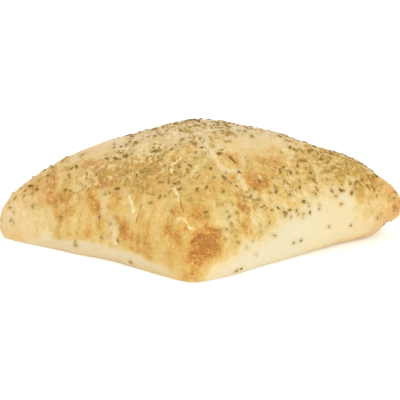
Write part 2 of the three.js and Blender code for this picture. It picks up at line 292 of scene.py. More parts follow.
# Pale, dry lips where the skin stretched and broke: half width, height, and way.
LIPS = [
    (0.55, 0.35, [(-6.4, -20.8, 37), (-8.5, -22, 36.1), (-10.4, -23.8, 35), (-10.2, -26.2, 33.5)]),
    (0.55, 0.35, [(-9.2, -33.4, 29.3), (-8.2, -36, 28), (-7.4, -39.4, 26.2)]),
    (0.4, 0.3, [(-5.6, -44.5, 21.6), (-4.1, -47, 19.7), (-2.3, -47.8, 18.5)]),
    (0.5, 0.3, [(-0.9, -10.9, 41.7), (1, -13.9, 40.7), (2.6, -16.8, 39.4)]),
    (0.45, 0.25, [(-24.8, -28, 23.4), (-24.2, -30.2, 21.4), (-23.7, -31.8, 19.6)]),
]

# Soft pale valleys where the dough was pinched: half width, paleness, and way.
VALLEYS = [
    (1.3, 0.75, [(3.1, -18.1, 38.7), (4.9, -21.1, 37), (7.4, -23.6, 34.7), (9.8, -24.9, 33.2)]),
    (0.9, 0.45, [(9.8, -24.9, 33.2), (13.5, -23.6, 33.1)]),
    (1, 0.8, [(13.5, -23.4, 33.1), (14.6, -26.1, 30.9), (15.6, -28.3, 28.6), (17.4, -29.7, 26.4),
                 (19.8, -30.2, 25)]),
    (1.1, 0.35, [(8.1, -17.6, 38.2), (11.8, -14.5, 38.8), (15.8, -14.9, 37.3), (16.9, -18.9, 34.8),
                 (14.6, -23.5, 32.8)]),
    (1.3, 0.32, [(-34.8, -20.8, 24.7), (-34.7, -26.6, 17)]),
    (1.3, 0.6, [(-31.3, -28.8, 16.6), (-31.3, -30.5, 13.4), (-30.2, -32.5, 9.5)]),
    (1.3, 0.26, [(-28.1, -23.7, 25.6), (-25.2, -28.7, 21.5), (-24.4, -31.6, 18.6)]),
]

# Dry, whitish blisters, whose palest middles carry a painted highlight: place, radius and paleness.
BLISTERS = [
    ((-25.1, -27.2, 24), 0.75, 1),
    ((-24.7, -28.9, 22.4), 0.7, 0.45),
    ((-24.1, -30.3, 21.5), 0.7, 0.5),
    ((-23.6, -31.5, 20.2), 1, 1),
    ((-30.9, -29.7, 15.4), 0.8, 0.5),
    ((-30.2, -32.8, 8.4), 0.75, 0.9),
    ((-8.4, -38.6, 26.3), 0.7, 0.5),
    ((-7.1, -44.4, 21), 0.8, 0.9),
    ((21.9, -23.6, 30.5), 0.65, 0.8),
]

# Browned and pale places: place, radius, and how much more or less baked than the crust around.
BAKED_PLACES = [
    # broad differences; the paler places round the left tip are painted light, as that end faces away from
    # the lamps
    ((18.5, -10, 39.2), 5, 0.08), ((60, -3, 26), 5, 0.08),
    ((66.5, -7.6, 15), 5, -0.12), ((-66, -9, 6), 9, -0.1),
    ((-52, -11, 21.5), 6.5, 0.2), ((-34, -18, 27), 10, 0.13),
    ((-17, -24, 31.5), 6, 0.15), ((-63, -8, 12), 15, -0.12),
    ((-72.5, -4, 9), 5, -0.1), ((-64, -8, 13.5), 6, -0.06),
    ((34, -22, 22), 11, -0.06), ((53, -14, 21.5), 5, -0.15),
    ((6, -34, 27), 12, -0.05),
    # the nose at the front corner; the three small, strong places along its crack darken it as painted
    # shade
    ((-11.2, -43.6, 17.8), 2.2, 0.3), ((-10.8, -47.2, 8), 3, 0.14),
    ((-10.5, -44.4, 17.3), 2.6, 0.14), ((-9.1, -46.7, 15.1), 2, 0.26),
    ((-8.9, -48.3, 10), 2.2, 0.13), ((-7.3, -49, 12.5), 2, 0.22),
    ((-5, -51.4, 6.2), 2.2, 0.08), ((-4.1, -44.2, 21.8), 2.6, 0.08),
    ((-3.4, -46, 20), 2.4, 0.1), ((-3.4, -51.5, 10.8), 2.2, 0.1),
    ((-2.8, -52, 2.6), 2.8, 0.16), ((-2.7, -50.1, 15.2), 1, 0.8),
    ((-1.3, -49.7, 16.2), 1, 0.8), ((-1, -44, 22.5), 3.6, 0.12),
    ((-0.8, -51.2, 11.2), 3.4, 0.4), ((-0.6, -51.8, 8.2), 2, 0.12),
    ((0.2, -48.8, 17), 1, 0.7), ((0.2, -44.4, 21.8), 3, 0.1),
    ((1.2, -51.2, 7.8), 2.2, 0.08), ((2.2, -49.4, 13.6), 4.2, 0.56),
    ((3, -46.8, 18.4), 2.2, 0.16), ((3.7, -48.7, 14.3), 3, 0.16),
    ((3.8, -49, 13.4), 2.6, 0.36), ((4.6, -50.4, 5.4), 3, -0.18),
    ((5.2, -48.6, 12), 2.4, 0.12), ((5.4, -46.4, 17.2), 3, 0.13),
    ((7.2, -47.3, 13.1), 3, 0.14), ((7.6, -46, 17), 2.4, 0.1),
    ((7.7, -48.2, 8.4), 2.2, 0.18), ((9.4, -44.4, 16.6), 2.6, -0.2),
    ((10.1, -45.7, 12.5), 3, -0.1),
    # the right face
    ((3.7, -36.6, 28.2), 3, 0.14), ((3.8, -33.6, 29), 3.6, 0.13),
    ((3.8, -42.4, 23.6), 3.6, 0.2), ((8.7, -40.6, 21.2), 4, -0.14),
    ((11.2, -28.2, 30.6), 2.8, 0.24), ((11.5, -42.3, 16.6), 2.6, -0.08),
    ((14.5, -35.3, 23.7), 2.4, 0.4), ((14.9, -32.8, 25.9), 2.4, 0.42),
    ((16.6, -35.6, 21.5), 2.2, 0.3), ((17.2, -23.6, 32.2), 2.6, 0.4),
    ((17.3, -38.6, 16.1), 2.2, 0.3), ((18, -38.8, 14.7), 2.6, 0.12),
    ((18.1, -33.6, 22.8), 2.6, 0.12), ((18.2, -26.5, 29.5), 2.2, 0.14),
    ((18.3, -22.1, 32.7), 2.4, -0.14), ((19, -29.8, 26.2), 2.3, -0.2),
    ((19.3, -26.7, 28.9), 2, 0.18), ((19.4, -36, 18), 3, -0.12),
    ((20.6, -34.4, 19.4), 3.8, -0.16), ((21.1, -25.3, 29.9), 3.2, 0.56),
    ((22.6, -21.4, 31.7), 3, 0.12), ((23.2, -25.6, 28), 2.2, 0.22),
    ((24.2, -31.8, 19.4), 2.4, 0.16), ((24.2, -17.1, 33.8), 2, 0.24),
    ((25.4, -28.6, 22.4), 3, -0.12), ((25.6, -29.8, 21.4), 2, 0.14),
    ((25.6, -19.4, 31.9), 2.6, 0.18), ((27.4, -22, 28), 3.8, -0.15),
    ((28, -15.4, 33.6), 4, 0.12), ((32.8, -23.1, 23.9), 2.6, -0.1),
    ((32.8, -23.1, 23.9), 3, -0.16), ((33.9, -10.1, 34), 3.6, -0.12),
    ((34.2, -24.6, 19.8), 2.8, 0.14), ((37.7, -9.6, 32.7), 3, 0.18),
    ((42, -20.5, 18.8), 3, -0.18),
    # the right tip
    ((57, -9.5, 24.5), 3.6, -0.1), ((61.7, -5.8, 24.5), 1.8, 0.12),
    ((64, -7.5, 19), 4, -0.18), ((64.4, -4.6, 23), 2.8, 0.46),
    ((66, -4.4, 4.2), 4, 0.1), ((66.2, -6.5, 19.3), 3.2, 0.05),
    ((67.4, -4.6, 21), 3.4, 0.05), ((69.6, -4.4, 17.6), 3, 0.1),
    ((71.2, -0.4, 18.6), 2.4, 0.24), ((72.1, -4.2, 12.3), 2.6, 0.26),
    ((73.2, -3.2, 11), 2, 0.42), ((74, -0.6, 13.4), 2.2, 0.2),
    # the left face
    ((-54.2, -7.6, 24.3), 2.8, 0.24), ((-52.4, -14.1, 18.9), 2.4, 0.36),
    ((-51.4, -17.6, 13.6), 2.4, 0.34), ((-50.8, -15.3, 18.6), 2.6, 0.22),
    ((-47.4, -22.3, 7.5), 2.4, 0.14), ((-44.8, -9.6, 28.1), 2.8, 0.16),
    ((-41.1, -19.5, 22.3), 2.4, 0.16), ((-41.1, -17, 24.6), 3, 0.1),
    ((-40.4, -9, 30.6), 3.2, 0.22), ((-39.9, -26.4, 9.3), 2.6, 0.18),
    ((-38.8, -21.4, 21.8), 2, 0.3), ((-37.6, -24, 18.9), 2.2, 0.4),
    ((-37.3, -12.8, 29.8), 3, 0.22), ((-35.2, -19.2, 26.4), 2.6, 0.56),
    ((-34.2, -22.4, 23.8), 2.3, -0.24), ((-34.2, -25.6, 19.6), 2.3, -0.2),
    ((-33.6, -10.6, 33.4), 3, 0.26), ((-32.6, -19.4, 27.3), 2.4, 0.14),
    ((-32.5, -25, 21.6), 2.4, -0.12), ((-32.5, -24.5, 22.1), 2.6, -0.14),
    ((-32.4, -28.2, 16.4), 2, 0.16), ((-31.7, -26.5, 20), 2, 0.36),
    ((-30.7, -24.5, 23.2), 1.9, 0.36), ((-30.6, -29.9, 16.2), 2, 0.14),
    ((-29.2, -16.9, 31), 2.4, 0.22), ((-28, -33.2, 12.4), 2, 0.32),
    ((-27.6, -32.3, 14.7), 2.4, 0.5), ((-26, -18.4, 31.6), 2.4, 0.18),
    ((-25.1, -29.1, 21.7), 2.2, 0.1), ((-25, -36.1, 10), 2.8, 0.14),
    ((-25, -34.7, 13.7), 2.4, 0.1), ((-24.6, -23, 28.2), 3.2, 0.12),
    ((-22, -18.6, 33), 2.4, 0.2), ((-19.5, -37.5, 16.5), 2.2, 0.14),
    ((-19.1, -17.6, 34.7), 2, 0.16), ((-19, -39.6, 14), 3, 0.1),
    ((-18.4, -41.3, 10.6), 2.6, 0.1), ((-18.4, -41.5, 5), 3, 0.14),
    ((-18, -21.9, 32.6), 2.4, 0.18), ((-17.3, -20.1, 34), 2.4, 0.38),
    ((-17.2, -28, 29.4), 3.4, 0.46), ((-15.6, -21, 34.4), 2.6, 0.26),
    ((-15.4, -23.5, 32.8), 2.2, 0.36), ((-12.4, -24, 34), 2.3, -0.15),
    ((-10.7, -25.5, 33.8), 2.4, -0.14), ((-10.6, -30, 30.6), 2.4, 0.22),
    ((-3.6, -40.9, 24.8), 3.2, 0.28),
    # the left tip
    ((-74, -2, 8), 3, 0.12), ((-70.6, -6.1, 9), 3, -0.12),
    ((-63, -5.3, 19.7), 3.6, 0.26), ((-60.7, -5.9, 21.5), 3, 0.14),
    ((-60, -11.5, 15), 4.5, -0.14), ((-58.6, -3, 24.5), 2.6, 0.08),
    ((-56.6, -4.7, 25), 3.2, 0.26), ((-56.5, -9.5, 19.5), 3.4, 0.1),
    # the top
    ((-26.6, -6.4, 37), 3, -0.12), ((-22.6, -10, 37.8), 4.2, -0.2),
    ((-18.1, -16.8, 35.6), 2.6, -0.14), ((-9, -19.8, 37.8), 3.2, 0.18),
    ((-4.2, -17.6, 40.1), 2.2, 0.36), ((-3.2, -13.6, 40.8), 2.4, 0.24),
    ((-2.8, -12.2, 41.1), 2.2, 0.36), ((5.3, -10.4, 42.1), 2, 0.5),
    ((7.6, -14.4, 40.2), 3.6, -0.12), ((11.8, -19.4, 36.2), 3, 0.26),
    ((14.6, -17, 36.6), 2.2, 0.14), ((21.8, -16.1, 35.1), 2.4, 0.26),
    ((26.6, -14.5, 35.5), 4, 0.16), ((28.4, -9.8, 36.2), 2.6, 0.24),
    ((31, -6.3, 37.1), 4.5, -0.08),
    # the back
    ((-46, 15, 20), 4.5, 0.3), ((-34, 26, 14), 4, 0.22),
    ((-24, 30, 22), 5, 0.3), ((-8, 38, 20), 4, 0.24),
    ((2, 48, 14), 6, 0.4), ((12, 18, 36), 5, 0.18),
    ((22, 28, 24), 4.5, 0.32), ((40, 16, 24), 4.5, 0.26),
    ((56, 8, 20), 4, 0.22),
]
BROWNEST = 0.86  # above this, places differ less,
ABOVE_BROWNEST = 0.35  # by this share of what they would
BAKED_MOST = 1.2
CRUST_BAKE = 0.54  # how baked the crust is on the whole, from 0 for pale to 1 for brown
TOP_BAKE = 0.4  # and on the top of the dome, under the herbs
TOP_STARTS = (30, 40)  # the heights between which the one turns into the other
# How baked the pale walls are at places along X, and how much darker their lowest edge is: partly a browned
# foot, partly painted shade where the wall meets the floor.
WALL_BAKE = [(-60, 0.05), (0, 0.05), (12, 0), (30, 0.01), (45, 0.09), (58, 0.19), (72, 0.27)]
FOOT_BAKE_AND_SHADE = [
    (-60, 0.22), (-40, 0.29), (-22, 0.44), (-8, 0.36), (4, 0.05),
    (30, 0.03), (42, 0.16), (55, 0.36), (72, 0.42),
]
FOOT_HEIGHT = SimpleNamespace(left=4.2, right=5, blend=3)

# Up to this height the side walls stayed pale, because they were sheltered from the oven's heat:
# the height at places along X, and over what height the pale wall fades into the crust.
FRONT_WALL_TOP = [
    (-66, 0.5), (-60, 3.2), (-52, 5.6), (-44, 6.8), (-36, 7), (-29, 6.6), (-21, 5.8),
    (-14, 4.6), (-11, 3.2), (-7, 0), (1, 0), (6, 5.5), (9, 9.5), (15, 12), (23, 15),
    (33, 19.5), (40, 22), (48, 23), (56, 22), (64, 13), (70, 4),
]
FRONT_WALL_FADE = [(-60, 1.5), (-6, 1.2), (1, 2.5), (6, 5), (15, 6.5), (28, 6.5), (60, 6), (74, 4)]
BACK_WALL_TOP = [
    (-72, 0), (-60, 6), (-45, 12), (-20, 13), (-2, 7), (6, 8), (28, 13), (48, 12), (64, 6), (72, 0),
]
BACK_WALL_FADE = [(-70, 3), (70, 4)]
WALL_EDGE = (-1.5, 1)  # where the fade starts and ends, in fades from the wall's top
TIP_TAN = (62, 76)  # the pale wall fades to tan between these places on the way to the right tip
TIP_TAN_SHARE = 0.85
FRONT_BLEND = 4  # distance over which what is on the front turns into what is on the back
# The front left face: the places along Y and X that it ends at, how softly, and its tip.
FRONT_LEFT = SimpleNamespace(y=-4, y_blend=3, x=-6, x_blend=4, tip=(-74, -58))

# The pale band along the left front side is greyer than the right wall, and the skin ends in a
# small overhang above it.
BAND_GREYNESS = 0.65
LEDGE = 0.32

# The two tips: the middle between them, how far out of it they start and are fully themselves, and
# how much rosier they are.
TIPS = SimpleNamespace(middle=3, starts=56, full=70, rosiness=0.9)

# Where the top stayed a dull beige under its herbs: centre, reach along X and Y, and weight.
BEIGE_FIELDS = [
    (-24, 1, 32, 16, 1),
    (6, 1, 20, 13, 0.9),
    (27, 1, 13, 10, 0.45),
    (43, 5, 12, 7, 0.5),
]

# Where oil and herb dust darkened the crust: place, radius and weight.
DUSTY_PLACES = [
    ((-31, -16.5, 30), 6, 0.4),
    ((-22, -20, 31), 5, 0.45),
    ((-17, -25, 31), 6, 0.6),
    ((-25, -24, 27), 5, 0.5),
    ((-40, -14, 27), 5, 0.25),
    ((-4, -24.5, 35.8), 5.5, 0.5),
    ((2, -24, 36), 6, 0.45),
    ((3, -33, 30), 4.5, 0.4),
    ((-9, -30, 31), 4, 0.35),
    ((-3, -38, 27), 5, 0.5),
    ((20, -19, 33), 6, 0.7),
    ((45, -8, 30), 7, 0.4),
    ((11.5, -7, 42.5), 4, 0.4),
    ((-11.2, -6.6, 42.3), 5, 0.3),
]


def scrambled(cells, seed):
    """A whole number from 0 to 2^32 for each cell of a grid, in no visible order."""
    mask = np.uint64(0xFFFFFFFF)
    x, y, z = (cells + 4096).astype(np.uint64).T
    n = (x * np.uint64(374761393) + y * np.uint64(668265263) + z * np.uint64(2246822519)) & mask
    n = (n + np.uint64(seed) * np.uint64(3266489917)) & mask
    n = ((n ^ (n >> np.uint64(13))) * np.uint64(1274126177)) & mask
    return n ^ (n >> np.uint64(16))


def noise(points, size, seed):
    """Smooth noise from about -1 to 1 that changes over distances of about size."""
    scaled = points / size
    cells = np.floor(scaled).astype(np.int64)
    part = scaled - cells
    fade = part**3 * (part * (part * 6 - 15) + 10)
    total = np.zeros(len(points))
    for corner in itertools.product((0, 1), repeat=3):
        offset = np.array(corner)
        number = scrambled(cells + offset, seed)
        slopes = np.stack([(number >> np.uint64(shift)) & np.uint64(1023) for shift in (0, 10, 20)], axis=1)
        slopes = slopes.astype(float) / 511.5 - 1
        weight = np.prod(np.where(offset == 1, fade, 1 - fade), axis=1)
        total += weight * ((part - offset) * slopes).sum(axis=1)
    return total * 1.7


def line_marks(points, paths):
    """Where each point lies from the nearest of some paths: how far across, above zero on its left
    and below zero on its right, and how far beyond its ends or out of its reach. A line drawn where
    both are near zero stays finer than the mesh."""
    outwards = points / np.array(ROUNDNESS) ** 2
    nearest = np.full(len(points), np.inf)
    across = np.zeros(len(points))
    beyond = np.zeros(len(points))
    for path in paths:
        steps = list(itertools.pairwise(np.array(path, dtype=float)))
        for number, (start, end) in enumerate(steps):
            along = end - start
            length = np.linalg.norm(along)
            away = points - start
            reach = away @ along / length
            past = np.zeros(len(points))
            if number == 0:
                past = np.maximum(past, -reach)
            if number == len(steps) - 1:
                past = np.maximum(past, reach - length)
            held = np.where(past > 0, reach, np.clip(reach, 0, length))
            aside = np.linalg.norm(away - held[:, None] * along / length, axis=1)
            left = (np.cross(along, away) * outwards).sum(axis=1) > 0
            distance = np.hypot(aside, past)
            closer = distance < nearest
            nearest = np.where(closer, distance, nearest)
            across = np.where(closer, np.where(left, aside, -aside), across)
            beyond = np.where(closer, past, beyond)
    return across, beyond + np.maximum(np.abs(across) - LINE_REACH, 0)


def along_x(x, curve):
    """The value at x of a curve given by a few of its places."""
    places, values = zip(*curve)
    return np.interp(x, places, values)


# Noises that make the skin uneven: strength, size in millimetres, and seed.
WALL_EDGE_DRIFT = [(0.30, 11, 3), (0.25, 4, 4), (0.12, 1.8, 5)]  # in fades of the wall's edge
WALL_EDGE_FRAY = [(0.5, 6, 6), (0.45, 2.2, 7)]
MOTTLING = [(0.10, 8.5, 21), (0.11, 3.4, 22), (0.07, 1.7, 23)]
BEIGE_CLOUDS = [(0.4, 6.0, 53)]
BEIGE_GAPS = [(0.9, 2.6, 56)]
DUST_CLOUDS = [(0.9, 3.0, 51), (0.6, 1.4, 52)]
TONE_CLOUDS = [(0.75, 4.6, 54), (0.6, 1.9, 55)]
UNEVENNESS = [(0.20, 6.5, 41), (0.12, 2.8, 42), (0.06, 1.3, 43)]

# Noises that shift the places and lines: distance, size, and first of three seeds.
WARP = [(1.3, 5.0, 11), (0.6, 1.9, 14)]
WAVER = [(0.35, 1.6, 17)]

# By what share the mottling grows in herb dust, and shrinks in other places.
MOTTLING_CHANGE = SimpleNamespace(dusty=1.3, wall=-0.75, tips=-0.5, front_left=-0.35)

# Blotches on the front: how far apart they are, how much flatter than high, where they set in as
# the noise rises, how much they add, what is taken off all over for it, and the heights they end at.
BLOTCHES = SimpleNamespace(
    size=5.2, seed=24, squash=0.75, edge=(0.02, 0.55), strength=0.17, less=0.33, top=(30, 38)
)

# Streaks down the left face: which way is along it, how wide and long they are, how much more they
# are baked, and how far they stand out.
STREAKS = SimpleNamespace(along=(0.82, -0.57), width=2.9, length=11, seed=31, strength=0.19, height=0.20)

DUST = SimpleNamespace(herbs=0.7, beige=-0.7, least=0.8, tips=-0.5)  # herb dust, where herbs lie
YELLOWNESS = 0.12  # how far the crust leans to yellow on the whole
BUBBLES = SimpleNamespace(size=3.6, seed=44, edge=(0.30, 0.75), height=0.30)
BROWN_GRAIN = SimpleNamespace(starts=0.7, most=0.5, size=0.9, seed=45, height=0.4)
SMOOTHER_WALL = 0.65  # by what share the walls are smoother
BLISTER_HEIGHT = 0.3


def layered(points, noises):
    """The sum of several noises, each given by its strength, size and seed."""
    return sum(strength * noise(points, size, seed) for strength, size, seed in noises)


def shifted(points, noises):
    """The points, each moved a little, much as its neighbours are."""
    moved = points
    for distance, size, first_seed in noises:
        seeds = range(first_seed, first_seed + 3)
        moved = moved + distance * np.stack([noise(points, size, seed) for seed in seeds], axis=1)
    return moved


def wall_share(points):
    """1 on the pale walls and 0 on the browned crust above them."""
    x, y, z = points.T
    front = past_zero(-y, FRONT_BLEND)
    top = mix(along_x(x, BACK_WALL_TOP), along_x(x, FRONT_WALL_TOP), front)
    fade = mix(along_x(x, BACK_WALL_FADE), along_x(x, FRONT_WALL_FADE), front)
    uneven = layered(points, WALL_EDGE_DRIFT) * fade + layered(points, WALL_EDGE_FRAY)
    wall = 1 - smooth_step(z + uneven, top + WALL_EDGE[0] * fade, top + WALL_EDGE[1] * fade)
    return wall * (1 - TIP_TAN_SHARE * smooth_step(x, *TIP_TAN))


def front_left_share(points):
    """1 on the middle of the front left face, 0 on the others."""
    x, y, _ = points.T
    front = past_zero(FRONT_LEFT.y - y, FRONT_LEFT.y_blend)
    return front * past_zero(FRONT_LEFT.x - x, FRONT_LEFT.x_blend) * smooth_step(x, *FRONT_LEFT.tip)


def tip_share(points):
    """1 on the left and right tips, 0 on the middle."""
    return smooth_step(np.abs(points[:, 0] - TIPS.middle), TIPS.starts, TIPS.full)


def dustiness(points, herbed, beige):
    """How much oil and herb dust darkened each point."""
    dusty = DUST.herbs * herbed * (1 + DUST.beige * beige)
    for place, radius, weight in DUSTY_PLACES:
        dusty = dusty + weight * nearness(points, place, radius)
    return np.clip(dusty * (DUST.least + layered(points, DUST_CLOUDS)), 0, 1)


def streakiness(points):
    """How far each point is in a streak, from about -1 to 1, on the left face alone."""
    x, y, z = points.T
    along = (STREAKS.along[0] * x + STREAKS.along[1] * y) / STREAKS.width
    down = np.stack([along, np.zeros(len(points)), z / STREAKS.length], axis=1)
    return noise(down, 1.0, STREAKS.seed) * front_left_share(points)


def bakedness(points, warped, marks):
    """How baked each point is, from 0 for pale to 1 for brown."""
    x, y, z = points.T
    foot_height = mix(FOOT_HEIGHT.left, FOOT_HEIGHT.right, past_zero(x, FOOT_HEIGHT.blend))
    # The foot's extra darkness is partly browning and partly painted shade along the floor.
    wall_bake_and_foot_shade = along_x(x, WALL_BAKE) + along_x(x, FOOT_BAKE_AND_SHADE) * (1 - smooth_step(z, 0, foot_height))
    baked = mix(mix(CRUST_BAKE, TOP_BAKE, smooth_step(z, *TOP_STARTS)), wall_bake_and_foot_shade, marks.wall)

    change = MOTTLING_CHANGE
    mottle = layered(points, MOTTLING) * (1 + change.wall * marks.wall) * (1 + change.dusty * marks.dusty)
    baked += mottle * (1 + change.tips * marks.tips) * (1 + change.front_left * marks.front_left)

    spread = noise(warped * (1, 1, BLOTCHES.squash), BLOTCHES.size, BLOTCHES.seed)
    blotches = BLOTCHES.strength * (smooth_step(spread, *BLOTCHES.edge) - BLOTCHES.less)
    below_top = 1 - smooth_step(z, *BLOTCHES.top)
    baked += blotches * past_zero(-y, FRONT_BLEND) * (1 - marks.wall) * below_top * (1 - marks.tips)
    for place, radius, more in BAKED_PLACES:
        baked += more * nearness(warped, place, radius)
    baked += STREAKS.strength * marks.streaks * (1 - marks.wall)
    return np.clip(np.minimum(baked, BROWNEST + ABOVE_BROWNEST * (baked - BROWNEST)), 0, BAKED_MOST)


def skin_marks(points):
    """What the crust's finish reads at each point: how baked, torn, floury (with the blisters' painted
    highlights) and dusty it is.
    """
    x, y, _ = points.T
    herbed = herb_density(x, y)
    marks = SimpleNamespace(
        wall=wall_share(points),
        front_left=front_left_share(points),
        tips=tip_share(points),
        streaks=streakiness(points),
    )
    uneven = 1 + layered(points, BEIGE_CLOUDS) + herbed * layered(points, BEIGE_GAPS)
    beige = field_weight(x, y, BEIGE_FIELDS) + BAND_GREYNESS * marks.wall * marks.front_left
    marks.beige = np.clip(beige * uneven, 0, 1)
    marks.dusty = dustiness(points, herbed, marks.beige)
    warped = shifted(points, WARP)
    marks.baked = bakedness(points, warped, marks)
    marks.dusty = marks.dusty * (1 - marks.wall) * (1 + DUST.tips * marks.tips)
    marks.herbed = np.clip(herbed + field_weight(x, y, SCRAP_FIELDS), 0, 1) * (1 - marks.wall)
    marks.tone = layered(points, TONE_CLOUDS) - YELLOWNESS + TIPS.rosiness * marks.tips

    marks.pinched = np.zeros(len(points))
    for half_width, paleness, path in VALLEYS:
        valley = paleness * np.exp(-((distance_to_path(warped, path) / half_width) ** 2))
        marks.pinched = np.maximum(marks.pinched, valley)
    wavering = shifted(points, WAVER)
    marks.floury = np.zeros(len(points))
    for place, radius, paleness in BLISTERS:
        marks.floury = np.maximum(marks.floury, paleness * nearness(wavering, place, radius))
    marks.tear, marks.tear_end = line_marks(wavering, TEARS)
    marks.lip, marks.lip_end = line_marks(wavering, [path for _, _, path in LIPS])
    return marks


# Lumps of dough at the foot: place, radius and height.
FOOT_LUMPS = [
    ((-39.6, -27.0, 1.6), 1.2, 0.9),
    ((-34.0, -30.6, 1.8), 1.6, 0.5),
    ((-27.2, -35.0, 1.8), 1.3, 0.8),
    ((-47.0, -22.0, 1.6), 1.5, 0.5),
    ((-12.0, -44.8, 1.6), 1.4, 0.6),
    ((14.0, -43.8, 1.6), 1.2, 0.6),
    ((45.0, -23.0, 2.6), 1.4, 0.5),
]


def fine_relief(points, marks):
    """How far the skin stands out of the broad form."""
    height = layered(points, UNEVENNESS) * (1 - SMOOTHER_WALL * marks.wall)
    bubbles = smooth_step(noise(points, BUBBLES.size, BUBBLES.seed), *BUBBLES.edge)
    height += BUBBLES.height * bubbles * (1 - marks.wall)
    browned = np.clip(marks.baked - BROWN_GRAIN.starts, 0, BROWN_GRAIN.most)
    height += BROWN_GRAIN.height * browned * noise(points, BROWN_GRAIN.size, BROWN_GRAIN.seed)
    height += STREAKS.height * marks.streaks
    for half_width, rise, path in LIPS:
        height += rise * np.exp(-((distance_to_path(points, path) / half_width) ** 2))
    for place, radius, paleness in BLISTERS:
        height += BLISTER_HEIGHT * paleness * nearness(points, place, radius)
    for place, radius, rise in FOOT_LUMPS:
        height += rise * nearness(points, place, radius)
    height -= TEAR_DEPTH * np.exp(-((np.hypot(marks.tear, marks.tear_end) / TEAR_HALF_WIDTH) ** 2))
    height += LEDGE * marks.front_left * (0.5 - marks.wall)
    return height * smooth_step(points[:, 2], RELIEF_STARTS, RELIEF_FULL / 2)


# ---------------------------------------------------------------------------
# Herbs: where they lie and how large they are
# ---------------------------------------------------------------------------

HERB_COUNT = 195  # the largest flakes, which the solid has too
HERB_SPACING = 3.0
HERB_SEED = 20117
HERB_LENGTH = (1.1, 2.1)
STEM_LENGTH = (2.4, 4.0)
STEM_SHARE = 0.05
STEM_WIDTH = 0.6
FLAKE_SLIMNESS = (0.42, 0.75)
HERB_EDGE_LIMIT = 0.97
HERB_LIFT = 0.08  # from the crust to the middle of a flake
HERB_FIGURE = 0.9  # the height that a flake's bow, trough and thickness are shares of
DROP_HEIGHT = 3  # from where a flake is dropped onto the crust
STAIN_RADIUS = 0.95  # how far round a herb the crust is stained, and how strongly
STAIN_STRENGTH = 0.55
STAIN_STEP = 3  # every third corner of a herb's mesh is enough to find it

# Where herbs fell thickly, or thinly if the weight is below zero: centre, reach along X and Y,
# and weight.
HERB_FIELDS = [
    (-14, 1, 23, 16, 0.95),
    (9, 6, 14, 9, 0.7),
    (51, -3, 16, 10, 0.95),
    (36, -16, 12, 8, 0.25),
    (32, 15, 16, 11, 0.5),
    (-57, -3, 9, 7, 0.3),
    (8, -36, 16, 10, 0.15),
    (-10, 32, 24, 14, 0.25),
    (20, -9, 9, 6, -0.35),
    (-34, 2, 9, 9, -0.6),
    (3, -48, 8, 5, -0.3),
]
HERB_FLOOR = 0.07  # and how thinly they fell elsewhere

# Thick spots of the smaller scraps: centre, reach along X and Y, and weight.
SCRAP_FIELDS = [
    (-23, -8, 8, 6, -0.5),
    (-27, -8, 6, 3, 0.7),
    (-29, -16, 10, 4, 0.9),
    (-17, -22, 8, 6, 0.9),
    (-40, -13, 7, 5, 0.5),
    (18, -32, 6, 5, 0.5),
    (30, -20, 9, 6, 0.4),
    (0, -25, 12, 8, 0.25),
    (6, -4, 10, 5, 0.5),
]


